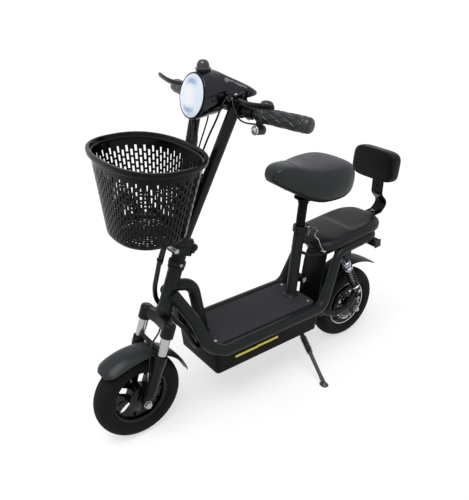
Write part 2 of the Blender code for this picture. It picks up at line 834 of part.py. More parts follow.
def fork_crown():
    bridge = bmesh.new()
    for height, trim in ((BRIDGE_LOW, 0.001), (BRIDGE_LOW + 0.003, 0), (0.242, 0)):
        points = circle_points(on_steerer(height), 0.0215 - trim)
        for side, _ in SIDES:
            points += circle_points(on_fork(height, side * LEG_SPACING), 0.0155 - trim)
        for point in points:
            bridge.verts.new(point)
    bmesh.ops.convex_hull(bridge, input=bridge.verts)
    loose = [v for v in bridge.verts if not v.link_faces]
    bmesh.ops.delete(bridge, geom=loose, context="VERTS")
    shoulders = [
        turned(
            [(0.0170, 0), (0.0180, 0.002), (0.0180, 0.036), (0.0140, 0.0425)],
            on_fork(SHOULDER_LOW, side * LEG_SPACING),
            STEER_AXIS,
            12,
        )
        for side, _ in SIDES
    ]
    race = HEAD_BOTTOM - GAP
    steerer = turned(
        [(0.0200, 0.235), (0.0215, 0.2435), (0.0215, race), (STEERER_RADIUS, race),
         (STEERER_RADIUS, 0.430)],
        on_steerer(0),
        STEER_AXIS,
    )
    shape = welded(bridge, *shoulders, steerer)
    for side, _ in SIDES:
        shape = cut(
            shape,
            rod(
                on_fork(SHOULDER_LOW - 0.01, side * LEG_SPACING),
                on_fork(STANCHION_TOP + GAP, side * LEG_SPACING),
                STANCHION_RADIUS + GAP,
                12,
            ),
        )
    add_object("fork_crown", shape, on_steerer(HEAD_BOTTOM), SATIN_BLACK, 0.4)


def stanchions():
    for side, word in SIDES:
        shape = rod(
            on_fork(STANCHION_BOTTOM, side * LEG_SPACING),
            on_fork(STANCHION_TOP, side * LEG_SPACING),
            STANCHION_RADIUS,
            12,
        )
        top = on_fork(STANCHION_TOP, side * LEG_SPACING)
        add_object(f"stanchion_{word}", shape, top, CHROME, 0.12, 1.0)


def fork_lowers():
    """Both lower legs with their dropouts, and the arch that ties them over the mudguard."""
    arch_height = 0.1560
    corners = [
        on_fork(0.132, LEFT * 0.057),
        on_fork(arch_height, LEFT * 0.050),
        on_fork(arch_height, RIGHT * 0.050),
        on_fork(0.132, RIGHT * 0.057),
    ]
    arch = swept(bent(corners, 0.008), 0.0068, 2)
    legs = []
    for side, _ in SIDES:
        leg = turned(
            [
                (0.0110, 0.020),
                (0.0140, 0.028),
                (0.0160, 0.122),
                (0.0175, 0.125),
                (0.0175, 0.147),
                (LEG_RADIUS, LEG_TOP),
            ],
            on_fork(0, side * LEG_SPACING),
            STEER_AXIS,
            12,
        )
        lug = block(on_fork(0.008, side * 0.0551), (0.0070, 0.030, 0.052), rake_turn(), 0.003)
        legs.append(welded(leg, lug))
    shape = welded(arch, *legs)
    for side, _ in SIDES:
        x = side * LEG_SPACING
        shape = cut(
            shape,
            rod(on_fork(STANCHION_BOTTOM - FORK_TRAVEL - 0.004, x), on_fork(LEG_TOP + 0.02, x),
                STANCHION_RADIUS + RUNNING_GAP, 12),
            rod(at(side * 0.04, 0, TYRE_RADIUS), at(side * 0.08, 0, TYRE_RADIUS), AXLE_RADIUS + GAP, 10),
        )
    add_object("fork_lowers", shape, on_fork(LEG_TOP), SATIN_BLACK, 0.4)


# Front wheel and its drum brake

AXLE_RADIUS = 0.0060
WHEEL_STEPS = 26
FLAT = math.pi / WHEEL_STEPS


def tyre(name, axle):
    """A road tyre. The tread is a narrow flat band, and a flat between two steps faces the floor."""
    reach = TYRE_RADIUS / math.cos(FLAT)
    half = [
        (reach, 0.0130),
        (reach - 0.0045, 0.0245),
        (0.1110, 0.0315),
        (0.0950, 0.0305),
        (RIM_RADIUS + 0.0015, 0.0200),
        (RIM_RADIUS - 0.0025, 0.0175),
    ]
    profile = half + [(radius, -x) for radius, x in reversed(half)]
    shape = turned(profile, axle, ACROSS, WHEEL_STEPS, hollow=True, start=FLAT)
    add_object(name, shape, axle, RUBBER, 0.75)


RIM_SEAT = RIM_RADIUS - 0.0025 - GAP


def rim_half():
    """The outer half of a rim's section, from the flange to the well."""
    return [(RIM_SEAT, 0.0182), (RIM_RADIUS, 0.0206), (RIM_RADIUS, 0.0235)]


def window(axle, inner, outer, middle, spread_in, spread_out):
    """A cutter for one opening of a cast wheel, between two radii and two spreads of angle."""
    outline = []
    for radius, spread, order in ((inner, spread_in, 1), (outer, spread_out, -1)):
        for i in range(3):
            share = (i - 1) * order
            angle = middle + share * spread
            outline.append(Vector((0, radius * math.cos(angle), radius * math.sin(angle))))
    return prism(outline, axle - ACROSS * 0.04, ACROSS * 0.08)


def front_rim():
    """A cast wheel: rim, hub and brake drum on a web that five Y-shaped spokes are cut from."""
    axle = at(0, 0, TYRE_RADIUS)
    bore = AXLE_RADIUS + RUNNING_GAP
    profile = [
        *rim_half(),
        (0.0715, 0.0060),
        (0.0330, 0.0070),
        (0.0330, 0.0235),
        (bore, 0.0235),
        (bore, -0.0340),
        (0.0170, -0.0340),
        (0.0190, -0.0070),
        (0.0715, -0.0060),
        *[(radius, -x) for radius, x in reversed(rim_half())],
    ]
    shape = turned(profile, axle, ACROSS, WHEEL_STEPS, hollow=True, start=FLAT)
    for number in range(5):
        middle = math.radians(74 + 72 * number)
        shape = cut(shape, window(axle, 0.0365, 0.0700, middle, 0.36, 0.40))
        shape = cut(shape, window(axle, 0.0570, 0.0700, middle + math.radians(36), 0.03, 0.13))
    add_object("front_rim", shape, axle, SATIN_BLACK, 0.3, 0.4)


def front_axle():
    axle = at(0, 0, TYRE_RADIUS)
    nut = 0.0100
    profile = [
        (AXLE_RADIUS, -0.0700),
        (AXLE_RADIUS, -0.0672),
        (nut, -0.0670),
        (nut, -0.0590),
        (AXLE_RADIUS, -0.0588),
        (AXLE_RADIUS, 0.0588),
        (nut, 0.0590),
        (nut, 0.0670),
        (AXLE_RADIUS, 0.0672),
        (AXLE_RADIUS, 0.0700),
    ]
    add_object("front_axle", turned(profile, axle, ACROSS, 8), axle, ZINC, 0.3, 1.0)


ARM_PIVOT_Y = -0.0080
ARM_PIVOT_Z = TYRE_RADIUS + 0.0240


def brake_plate():
    """The drum brake's fixed plate on the left of the wheel, with the boss of the cam."""
    axle = at(0, 0, TYRE_RADIUS)
    plate = turned(
        [(AXLE_RADIUS + GAP, 0.0265), (0.0390, 0.0265), (0.0390, 0.0300), (0.0300, 0.0330),
         (0.0110, 0.0335), (0.0110, 0.0512), (AXLE_RADIUS + GAP, 0.0512)],
        axle, ACROSS, 16, hollow=True,
    )
    boss = rod(at(0.030, ARM_PIVOT_Y, ARM_PIVOT_Z), at(0.0345, ARM_PIVOT_Y, ARM_PIVOT_Z), 0.0065, 10)
    add_object("brake_plate", welded(plate, boss), axle, SATIN_BLACK, 0.4, 0.4)


def brake_arm():
    """The arm on the cam: it points up, and the cable pulls its end."""
    pivot = at(0.0345 + GAP, ARM_PIVOT_Y, ARM_PIVOT_Z)
    thick = ACROSS * 0.0030
    top = Vector((0, 0.026, 0.030))
    side = Vector((0, 0.0050, -0.0043))
    outline = [Vector((0, -0.006, -0.004)), Vector((0, 0.002, -0.007)), side * 1.1 + Vector((0, 0.002, 0)),
               top + side * 0.8, top - side * 0.8, -side * 1.2]
    arm = prism(outline, pivot, thick)
    clamp = rod(pivot + top * 0.9, pivot + top * 0.9 + ACROSS * 0.0065, 0.0038, 10)
    add_object("brake_arm", welded(arm, clamp), pivot, ZINC, 0.35, 1.0)


# Stem: the base with the folding hinge, the V of two tubes, and the basket's bracket

HINGE_HEIGHT = 0.4420
HINGE_BACK = 0.0260
KNUCKLE_RADIUS = 0.0110
KNUCKLE_HALF = 0.0100


def hinge_point(x=0.0):
    return on_steerer(HINGE_HEIGHT, -HINGE_BACK, x)


def hinge_rod(low, high, radius, steps=12):
    return rod(hinge_point(low), hinge_point(high), radius, steps)


def stem_base():
    """The lower half of the folding joint, clamped to the steerer, with the two outer knuckles."""
    bore = STEERER_RADIUS + GAP
    low = HEAD_TOP + RUNNING_GAP
    collar = turned(
        [(bore, low), (0.0235, low), (0.0235, 0.3990), (0.0190, 0.4010), (0.0190, 0.4230),
         (bore, 0.4230)],
        on_steerer(0), STEER_AXIS, hollow=True,
    )
    head = block(on_steerer(0.4300, 0.002), (0.044, 0.050, 0.0235), rake_turn(), 0.003)
    shelf = block(on_steerer(0.4340, -0.0235), (0.044, 0.015, 0.015), rake_turn(), 0.001)
    knuckles = [
        hinge_rod(side * (KNUCKLE_HALF + RUNNING_GAP), side * 0.0230, KNUCKLE_RADIUS)
        for side, _ in SIDES
    ]
    shape = welded(collar, cut(head, rod(on_steerer(0.40), on_steerer(0.4302), bore, 16)), shelf)
    room = KNUCKLE_HALF + RUNNING_GAP
    shape = cut(shape, hinge_rod(-room - GAP, room + GAP, KNUCKLE_RADIUS + 0.001))
    shape = welded(shape, *knuckles, hinge_rod(-0.0200, 0.0200, 0.0040, 12))
    latch = on_steerer(0.4300, 0.0280)
    shape = welded(shape, rod(latch - ACROSS * 0.0250, latch + ACROSS * 0.0270, 0.0055, 12))
    add_object("stem_base", shape, on_steerer(0.4300), SATIN_BLACK, 0.4)


LATCH_X = -0.0255


def fold_lever():
    """The cam lever that draws the folding joint shut, on the right of the base."""
    pivot = on_steerer(0.4300, 0.0280, LATCH_X - RUNNING_GAP)
    hub = rod(pivot, pivot - ACROSS * 0.0080, 0.0085, 14)
    middle = pivot - ACROSS * 0.0050 - STEER_AXIS * 0.030
    blade = block(middle, (0.0050, 0.013, 0.060), rake_turn(), 0.0015)
    add_object("fold_lever", welded(hub, blade), pivot, SATIN_BLACK, 0.35, 0.4)


STEM_FOOT = 0.4560
STEM_HEAD = 0.8130
STEM_HEAD_X = 0.0770
STEM_FORWARD = 0.0130
BRACKET_HEIGHT = 0.6150


def stem_tube_line(side):
    foot = on_steerer(STEM_FOOT, STEM_FORWARD, side * 0.0185)
    head = on_steerer(STEM_HEAD, STEM_FORWARD, side * STEM_HEAD_X)
    return foot, head


def bar_rod(low, high, radius, steps=12):
    return rod(at(low, BAR_Y, BAR_HEIGHT), at(high, BAR_Y, BAR_HEIGHT), radius, steps)


def stem():
    """One weldment: the upper hinge lug, two tubes in a V, a bar clamp on each, and the bracket."""
    lug = block(on_steerer(0.4540, 0.005), (0.044, 0.044, 0.0230), rake_turn(), 0.003)
    heel = block(on_steerer(0.4500, -0.020), (0.0195, 0.020, 0.0140), rake_turn(), 0.001)
    knuckle = hinge_rod(-KNUCKLE_HALF, KNUCKLE_HALF, KNUCKLE_RADIUS)
    tubes = [rod(*stem_tube_line(side), STEM_TUBE_RADIUS, 12) for side, _ in SIDES]
    clamps = [
        bar_rod(side * STEM_HEAD_X - 0.014, side * STEM_HEAD_X + 0.014, 0.0185)
        for side, _ in SIDES
    ]
    ahead = STEM_FORWARD + 0.006
    plate = block(on_steerer(BRACKET_HEIGHT, ahead), (0.090, 0.004, 0.050), rake_turn(), 0)
    arms = []
    for side, _ in SIDES:
        start = on_steerer(BRACKET_HEIGHT, ahead, side * 0.025)
        end = at(side * 0.025, basket_back(start.z) + 0.003, start.z)
        arms.append(rod(start, end, 0.0060, 8))
    height = on_steerer(BRACKET_HEIGHT, ahead).z
    lean = Matrix.Rotation(-math.atan(BASKET_SLOPE), 4, "X")
    pad = block(at(0, basket_back(height) + 0.0028, height), (0.070, 0.004, 0.036), lean, 0)
    shape = welded(lug, heel, knuckle, *tubes, *clamps, plate, *arms, pad)
    side_gap = KNUCKLE_HALF + RUNNING_GAP
    shape = cut(
        shape,
        bar_rod(-0.12, 0.12, BAR_RADIUS + GAP),
        hinge_rod(-0.030, 0.030, 0.0040 + RUNNING_GAP, 12),
        hinge_rod(side_gap, 0.030, KNUCKLE_RADIUS + RUNNING_GAP),
        hinge_rod(-0.030, -side_gap, KNUCKLE_RADIUS + RUNNING_GAP),
    )
    add_object("stem", shape, hinge_point(), SATIN_BLACK, 0.4)


# Basket: a moulded tub with a rolled rim

BASKET_POINTS = 28
BASKET_SLOPE = (0.024 + 0.013) / (BASKET_RIM - BASKET_BASE)


def basket_size(z):
    """Half-width, half-depth and centre y of the basket's outside at a height."""
    share = (z - BASKET_BASE) / (BASKET_RIM - BASKET_BASE)
    return 0.104 + 0.066 * share, 0.087 + 0.024 * share, 0.065 + 0.013 * share


def basket_back(z):
    _, half_depth, centre = basket_size(z)
    return centre + half_depth


def basket_ring(z, inset):
    half_width, half_depth, centre = basket_size(z)
    middle = at(0, centre, z)
    size = (half_width - inset, half_depth - inset)
    return superellipse(middle, ACROSS, Vector((0, 1, 0)), *size, 2.4, BASKET_POINTS)


def basket():
    rim_low = BASKET_RIM - 0.014
    rings = [
        basket_ring(BASKET_BASE, 0.012),
        basket_ring(BASKET_BASE + 0.004, 0.003),
        basket_ring(BASKET_BASE + 0.012, 0),
        basket_ring(rim_low, 0),
        basket_ring(rim_low + 0.001, -0.0070),
        basket_ring(BASKET_RIM - 0.003, -0.0080),
        basket_ring(BASKET_RIM, -0.0050),
        basket_ring(BASKET_RIM, BASKET_WALL - 0.001),
        basket_ring(rim_low, BASKET_WALL),
        basket_ring(BASKET_BASE + 0.012, BASKET_WALL + 0.001),
        basket_ring(BASKET_BASE + BASKET_WALL, 0.013),
    ]
    add_object("basket", lofted(rings), at(0, 0.065, BASKET_BASE), PLASTIC_BLACK, 0.35)


# Handlebar, grips, levers, switch pod and cables

BAR_BEND_X = 0.1000
BAR_END = Vector((BAR_HALF_LENGTH, 0.337, 0.8815))
GRIP_START = 0.0520
GRIP_LENGTH = 0.1310


def bar_line(side, distance):
    """A point of the swept part of the bar, this far out from its bend, and its direction."""
    bend = at(side * BAR_BEND_X, BAR_Y, BAR_HEIGHT)
    end = at(side * BAR_END.x, BAR_END.y, BAR_END.z)
    direction = (end - bend).normalized()
    return bend + direction * distance, direction


def bar_route():
    left_end, _ = bar_line(LEFT, 0.1790)
    right_end, _ = bar_line(RIGHT, 0.1790)
    bends = [at(side * BAR_BEND_X, BAR_Y, BAR_HEIGHT) for side, _ in SIDES]
    corners = [left_end, *bends, right_end]
    return bent(corners, 0.060)


def handlebar():
    shape = swept(bar_route(), BAR_RADIUS, 4)
    add_object("handlebar", shape, at(0, BAR_Y, BAR_HEIGHT), SATIN_BLACK, 0.35, 0.3)


def grip_profile(inner):
    end = GRIP_LENGTH
    return [
        (inner, 0),
        (GRIP_RADIUS + 0.0010, 0),
        (GRIP_RADIUS + 0.0010, 0.005),
        (GRIP_RADIUS - 0.0015, 0.009),
        (GRIP_RADIUS, end - 0.012),
        (GRIP_RADIUS - 0.0025, end - 0.003),
        (GRIP_RADIUS - 0.0080, end),
        (0, end),
        (0, end - 0.003),
        (inner, end - 0.003),
    ]


def grips():
    for side, name, gap in ((LEFT, "grip_left", GAP), (RIGHT, "throttle_grip", RUNNING_GAP)):
        base, direction = bar_line(side, GRIP_START)
        shape = turned(grip_profile(BAR_RADIUS + gap), base, direction, 14, hollow=True)
        add_object(name, shape, base, RUBBER, 0.7)


LEVER_PIVOT = Vector((0.1010, 0.2680, 0.9190))
LEVER_TIP = Vector((0.2360, 0.2650, 0.9260))


def levers():
    """On each side a perch clamped round the bar, and a blade on a pin across its jaw."""
    middle, direction = bar_line(LEFT, 0.0160)
    pivot = at(*LEVER_PIVOT)
    tip = at(*LEVER_TIP)
    outward = (tip - pivot).normalized()
    up = Vector((0, -0.28, 0.96)).normalized()
    up = (up - outward * up.dot(outward)).normalized()
    ahead = outward.cross(up)

    clamp = rod(middle - direction * 0.0090, middle + direction * 0.0090, 0.0160, 14)
    neck = lofted([
        superellipse(middle + ahead * 0.004 + up * 0.006, direction, up, 0.0080, 0.0075, 4, 8),
        superellipse(pivot - ahead * 0.004, outward, up, 0.0100, 0.0105, 4, 8),
        superellipse(pivot + ahead * 0.009, outward, up, 0.0090, 0.0105, 4, 8),
    ])
    barrel = turned(
        [(0.0060, 0), (0.0060, 0.008), (0.0045, 0.010), (0.0045, 0.024)],
        pivot - outward * 0.0080, -outward, 10,
    )
    turn = Matrix((outward, -ahead, up)).transposed().to_4x4()
    slot = block(pivot + ahead * 0.0105 + outward * 0.0100, (0.044, 0.039, 0.0106), turn, 0)
    bore = rod(middle - direction * 0.02, middle + direction * 0.02, BAR_RADIUS + GAP, 14)
    pin = rod(pivot - up * 0.0100, pivot + up * 0.0100, 0.0030, 10)
    perch = welded(cut(welded(clamp, cut(neck, slot)), bore), barrel, pin)

    rings = []
    for share, lift, half_height, half_depth in (
        (-0.045, 0.0, 0.0046, 0.0060),
        (0.02, 0.0, 0.0048, 0.0085),
        (0.12, 0.002, 0.0050, 0.0070),
        (0.30, 0.008, 0.0058, 0.0055),
        (0.55, 0.010, 0.0068, 0.0045),
        (0.80, 0.005, 0.0070, 0.0045),
        (1.00, 0.0, 0.0060, 0.0040),
    ):
        centre = pivot.lerp(tip, share) + ahead * (lift + 0.003)
        rings.append(superellipse(centre, ahead, up, half_depth, half_height, 2.6, 8))
    blade = cut(lofted(rings), rod(pivot - up * 0.02, pivot + up * 0.02, 0.0030 + RUNNING_GAP, 10))

    for word, shape, origin, colour, roughness, metallic in (
        ("lever_perch", perch, middle, SATIN_BLACK, 0.4, 0.3),
        ("brake_lever", blade, pivot, SATIN_BLACK, 0.35, 0.5),
    ):
        across_from = Vector((-origin.x, origin.y, origin.z))
        add_object(f"{word}_right", mirrored(shape), across_from, colour, roughness, metallic)
        add_object(f"{word}_left", shape, origin, colour, roughness, metallic)


def switch_pod():
    """The left switch housing: a ring round the bar, a dome over it and a horn socket below."""
    middle, direction = bar_line(LEFT, 0.0440)
    ring = rod(middle - direction * 0.0065, middle + direction * 0.0065, 0.0170, 12)
    dome_base = middle + Vector((0.0110, 0.006, 0.002))
    dome_profile = [(0.0165, 0), (0.0175, 0.015), (0.0150, 0.025), (0.0080, 0.0315)]
    dome = turned(dome_profile, dome_base, Vector((0, 0.20, 1.0)), 12)
    socket_base = middle + Vector((0.0080, -0.006, -0.0325))
    neck = block(middle + Vector((0.0020, -0.004, -0.0220)), (0.0090, 0.0140, 0.0160), None, 0.001)
    grip_base, _ = bar_line(LEFT, GRIP_START - 0.0004)
    grip_room = rod(grip_base, grip_base + direction * 0.06, GRIP_RADIUS + 0.0018, 16)
    socket = turned(
        [(0.0078, 0.016), (0.0115, 0.016), (0.0115, -0.010), (0.0078, -0.010)],
        socket_base, Vector((0, -1, 0.1)), 12,
    )
    well_end = socket_base + Vector((0, -0.03, 0.003))
    well = rod(socket_base + Vector((0, -0.006, 0.0006)), well_end, 0.0080, 12)
    shape = cut(
        welded(ring, dome, neck, socket),
        rod(middle - direction * 0.03, middle + direction * 0.03, BAR_RADIUS + GAP, 14),
        grip_room,
        well,
    )
    add_object("switch_pod", shape, middle, PLASTIC_BLACK, 0.4)
    forward = Vector((0, -1, 0.1)).normalized()
    button_base = socket_base + forward * 0.0085
    button = turned([(0.0075, 0), (0.0075, 0.0115), (0.0060, 0.0130)], button_base, forward, 12)
    add_object("horn_button", button, button_base, ZINC, 0.3, 1.0)


def headlight():
    """A gloss cowl that starts round behind the lens and spreads over the bar in two short wings."""
    tilt = math.radians(12.5)
    forward = Vector((0, -math.cos(tilt), math.sin(tilt)))
    lens_up = Vector((0, math.sin(tilt), math.cos(tilt)))
    lens_centre = at(0, 0.2140, 0.9150)
    rings = [superellipse(lens_centre, ACROSS, lens_up, 0.0530, 0.0530, 2.0, 20),
             superellipse(lens_centre - forward * 0.004, ACROSS, lens_up, 0.0560, 0.0560, 2.0, 20)]
    for y, half_width, low, high, power in (
        (0.2420, 0.0575, 0.8640, 0.9720, 2.0),
        (0.2600, 0.0590, 0.8740, 0.9715, 2.1),
        (0.2740, 0.0640, 0.8860, 0.9690, 2.2),
        (0.2880, 0.0880, 0.9000, 0.9600, 2.6),
        (0.3020, 0.1030, 0.9060, 0.9510, 3.0),
        (0.3180, 0.1040, 0.9100, 0.9420, 3.0),
        (0.3310, 0.0960, 0.9130, 0.9330, 2.8),
        (0.3380, 0.0820, 0.9170, 0.9280, 2.4),
    ):
        centre = at(0, y, (low + high) / 2)
        rings.append(superellipse(centre, ACROSS, UPWARD, half_width, (high - low) / 2, power, 20))
    shape = cut(
        lofted(rings),
        bar_rod(-0.0920, 0.0920, 0.0185 + GAP),
        bar_rod(-0.14, 0.14, BAR_RADIUS + 0.003),
    )
    for side, _ in SIDES:
        foot, head = stem_tube_line(side)
        shape = cut(shape, rod(foot, head, STEM_TUBE_RADIUS + GAP, 12))
        middle, direction = bar_line(side, 0.0160)
        shape = cut(shape, rod(middle - direction * 0.02, middle + direction * 0.02, 0.0170, 10))
    add_object("headlight_cowl", shape, lens_centre, PLASTIC_BLACK, 0.15)
    lens = turned(
        [(0.0515, 0), (0.0515, 0.0035), (0.0470, 0.0065), (0.0250, 0.0110)],
        lens_centre + forward * GAP, forward, 20,
    )
    add_object("headlight_lens", lens, lens_centre, LENS_WHITE, 0.1)


def bell():
    """A domed bell on top of the cowl."""
    base = at(0, 0.2450, 0.9690)
    profile = [(0.0185, 0), (0.0185, 0.0045), (0.0150, 0.0060), (0.0153, 0.0140), (0.0125, 0.0230),
               (0.0060, 0.0280)]
    shape = turned(profile, base, UPWARD, 12)
    shape = cut(shape, block(at(0, 0.245, 0.9590), (0.08, 0.08, 0.02 + 2 * 0.0040), bevel=0))
    add_object("bell", shape, base, CHARCOAL, 0.4)


def cables():
    """Cables held along the scooter: the loom in front of the head tube, and the front brake's."""
    loom = [
        at(-0.004, 0.1330, 0.5850),
        at(-0.008, 0.1020, 0.5100),
        at(-0.020, 0.0880, 0.4250),
        at(-0.034, 0.0980, 0.3800),
        at(-0.037, 0.1200, 0.3380),
        at(-0.024, 0.1420, 0.3020),
        at(-0.008, 0.1680, 0.2650),
        at(0.0, 0.1830, 0.2250),
        at(0.0, 0.1960, 0.2020),
        at(0.0, 0.2080, 0.1940),
    ]
    tray_lean = Matrix.Rotation(0.084, 4, "X")
    tray_face = block(at(0, 0.2015 - GAP + 0.05, 0.2000), (0.10, 0.10, 0.20), tray_lean, 0)
    add_object("wiring_loom", cut(swept(smooth(loom, 2), 0.0068, 2), tray_face), loom[0], RUBBER, 0.6)
    upper = [
        at(0.0663, 0.2688, 0.9172),
        at(0.0650, 0.2620, 0.9110),
        at(0.0625, 0.2520, 0.8960),
        at(0.0520, 0.2440, 0.8640),
        at(0.0300, 0.2360, 0.8200),
        at(0.0220, 0.2220, 0.7800),
        at(0.0140, 0.2040, 0.7200),
        at(0.0060, 0.1840, 0.6600),
        at(0.0000, 0.1560, 0.5980),
    ]
    route = [at(0.0687, 0.2687, 0.9173), *smooth(upper, 2)]
    add_object("brake_cable_upper", swept(route, 0.0025, 2), route[0], RUBBER, 0.5)
    lower = [
        at(0.0301, 0.0640, 0.3205),
        at(0.0340, 0.0500, 0.3100),
        at(0.0420, 0.0330, 0.3000),
        at(0.0475, 0.0240, 0.2780),
        at(0.0470, 0.0200, 0.2400),
        at(0.0420, 0.0140, 0.2000),
        at(0.0395, 0.0150, 0.1850),
    ]
    route = [lower[0] + STEER_AXIS * 0.0102, *smooth(lower, 2)]
    add_object("brake_cable_lower", swept(route, 0.0025, 2), route[0], RUBBER, 0.5)


# Rear wheel, swing arm and shocks


def rear_hub_motor():
    """A hub motor cast in one with the rim: two dished covers, a finned rim ring and an axle bore."""
    axle = at(0, WHEELBASE, TYRE_RADIUS)
    bore = AXLE_RADIUS + RUNNING_GAP
    half = [
        *rim_half(),
        (0.0740, 0.0190),
        (0.0660, 0.0130),
        (0.0600, 0.0290),
        (0.0240, 0.0410),
        (bore, 0.0420),
    ]
    profile = half + [(radius, -x) for radius, x in reversed(half)]
    shape = turned(profile, axle, ACROSS, WHEEL_STEPS, hollow=True, start=FLAT)
    add_object("rear_hub_motor", shape, axle, SATIN_BLACK, 0.3, 0.4)


SWING_X = 0.0780
DROPOUT_X = 0.0620


def rear_axle():
    axle = at(0, WHEELBASE, TYRE_RADIUS)
    nut = 0.0105
    face = DROPOUT_X + 0.0030 + GAP
    half = [(AXLE_RADIUS, 0.0780), (AXLE_RADIUS, 0.0742), (nut, 0.0740), (nut, face),
            (AXLE_RADIUS, face - 0.0001)]
    profile = half + [(radius, -x) for radius, x in reversed(half)]
    add_object("rear_axle", turned(profile[::-1], axle, ACROSS, 8), axle, ZINC, 0.3, 1.0)


def swing_arm():
    """Two bent arms on a cross tube, each with a plate down to the axle and a lug for the shock."""
    pivot = at(0, *SWING_PIVOT)
    cross = rod(pivot - ACROSS * 0.0700, pivot + ACROSS * 0.0700, 0.0130, 12)
    parts = []
    for side, _ in SIDES:
        corners = [
            at(side * 0.0640, *SWING_PIVOT),
            at(side * SWING_X, 0.690, 0.1590),
            at(side * SWING_X, 0.752, 0.1640),
            at(side * SWING_X, 0.782, 0.2080),
        ]
        parts.append(swept(bent(corners, 0.030, math.radians(32)), 0.0105, 2))
        outline = [
            Vector((0, -0.020, 0.0560)),
            Vector((0, -0.040, 0.0400)),
            Vector((0, -0.020, -0.0120)),
            Vector((0, 0.000, -0.0180)),
            Vector((0, 0.014, -0.0120)),
            Vector((0, 0.016, 0.0060)),
        ]
        start = at(side * DROPOUT_X - 0.0030, WHEELBASE, TYRE_RADIUS)
        parts.append(prism(outline, start, ACROSS * 0.0060))
        bridge = at(side * 0.0700, WHEELBASE - 0.036, TYRE_RADIUS + 0.0370)
        parts.append(block(bridge, (0.0220, 0.0180, 0.0240), None, 0))
        foot = at(0, *SHOCK_FOOT)
        eye_foot = foot + ACROSS * side * SHOCK_X
        fork = [Vector((x, -0.0085, z)) for x, z in (
            (-0.0125, -0.0250), (0.0125, -0.0250), (0.0125, 0.0080), (0.0095, 0.0080),
            (0.0095, -0.0180), (-0.0095, -0.0180), (-0.0095, 0.0080), (-0.0125, 0.0080),
        )]
        parts.append(prism(fork, eye_foot, Vector((0, 0.0170, 0))))
        parts.append(rod(eye_foot - ACROSS * 0.0145, eye_foot + ACROSS * 0.0145, 0.0040, 8))
    shape = welded(cross, *parts)
    tools = [rod(pivot - ACROSS * 0.09, pivot + ACROSS * 0.09, PIVOT_PIN + RUNNING_GAP, 10)]
    axle = at(0, WHEELBASE, TYRE_RADIUS)
    for side, _ in SIDES:
        tools.append(rod(axle + ACROSS * side * 0.05, axle + ACROSS * side * 0.08, AXLE_RADIUS + GAP, 10))
    shape = cut(shape, *tools)
    add_object("swing_arm", shape, pivot, SATIN_BLACK, 0.4)


def shock_line(side):
    top = at(side * SHOCK_X, *SHOCK_TOP)
    foot = at(side * SHOCK_X, *SHOCK_FOOT)
    return top, foot, (foot - top).normalized()


SPRING_TURNS = 5
SPRING_TOP = 0.0480
SPRING_FOOT = 0.1290
SPRING_RADIUS = 0.0125
SPRING_WIRE = 0.0022


def coil_route(top, down, sideways):
    """The spring's centre line: a helix of eight points a turn whose ends stand on the seats."""
    across = sideways.cross(down).normalized()
    stub = 2 * SPRING_WIRE
    length = SPRING_FOOT - SPRING_TOP
    places = [(0.0, 0.0), (0.0, stub)]
    count = SPRING_TURNS * 8
    for i in range(1, count):
        share = i / count
        places.append((math.tau * SPRING_TURNS * share, stub + 0.001 + share * (length - 2 * stub - 0.002)))
    places += [(math.tau * SPRING_TURNS, length - stub), (math.tau * SPRING_TURNS, length)]
    route = []
    for angle, depth in places:
        offset = sideways * math.cos(angle) + across * math.sin(angle)
        route.append(top + down * (SPRING_TOP + depth) + offset * SPRING_RADIUS)
    return route


def least_gap(route, radius, apart=5):
    """The least distance between a tube's own turns, measured on points along its route."""
    fine = []
    for first, last in zip(route, route[1:]):
        fine += [first.lerp(last, step / 4) for step in range(4)]
    nearest = min(
        (fine[i] - fine[j]).length
        for i in range(len(fine))
        for j in range(i + 4 * apart, len(fine))
    )
    return nearest - 2 * radius


def shocks():
    """On each side a damper with a bright cap, a rod with an eye, and a coil spring between seats."""
    for side, word in SIDES:
        top, foot, down = shock_line(side)
        length = (foot - top).length
        body = turned(
            [(0.0085, 0.002), (0.0088, 0.0080), (0.0148, 0.0125), (0.0148, 0.030), (0.0120, 0.036),
             (0.0158, 0.038), (0.0158, SPRING_TOP - 2 * GAP), (0.0072, SPRING_TOP - GAP),
             (0.0072, 0.1080), (0.0044, 0.1080), (0.0044, 0.0500)],
            top, down, 10,
        )
        eye = rod(top - ACROSS * 0.0090, top + ACROSS * 0.0090, 0.0085, 12)
        body = cut(welded(body, eye), rod(top - ACROSS * 0.02, top + ACROSS * 0.02, 0.0046, 12))
        add_object(f"shock_body_{word}", body, top, ZINC, 0.25, 1.0)

        shaft = turned(
            [(0.0038, 0.0740), (0.0038, SPRING_FOOT + GAP), (0.0158, SPRING_FOOT + 2 * GAP),
             (0.0158, 0.1350), (0.0070, 0.1370), (0.0060, length - 0.007)],
            top, down, 10,
        )
        lower_eye = rod(foot - ACROSS * 0.0085, foot + ACROSS * 0.0085, 0.0085, 12)
        shaft = cut(welded(shaft, lower_eye), rod(foot - ACROSS * 0.02, foot + ACROSS * 0.02, 0.0060, 12))
        add_object(f"shock_rod_{word}", shaft, foot, CHROME, 0.2, 1.0)

        route = coil_route(top, down, ACROSS * side)
        print(f"shock_spring_{word}: least gap to itself {1000 * least_gap(route, SPRING_WIRE):.2f} mm")
        add_object(f"shock_spring_{word}", swept(route, SPRING_WIRE, 1), top, SATIN_BLACK, 0.3, 0.3)


# Kickstand

STAND_PIVOT = Vector((0.0580, 0.5570, 0.1345))
STAND_AXIS = Vector((0.7340, 0, 0.6790)).normalized()
STAND_FOOT = Vector((0.1830, 0.5520, 0))
STAND_LIFT = STAND_AXIS.cross(Vector((0, 1, 0)))


def stand_turn():
    """Turns a shape so that its x lies along the stand's axis."""
    return Matrix((STAND_AXIS, Vector((0, 1, 0)), STAND_LIFT)).transposed().to_4x4()


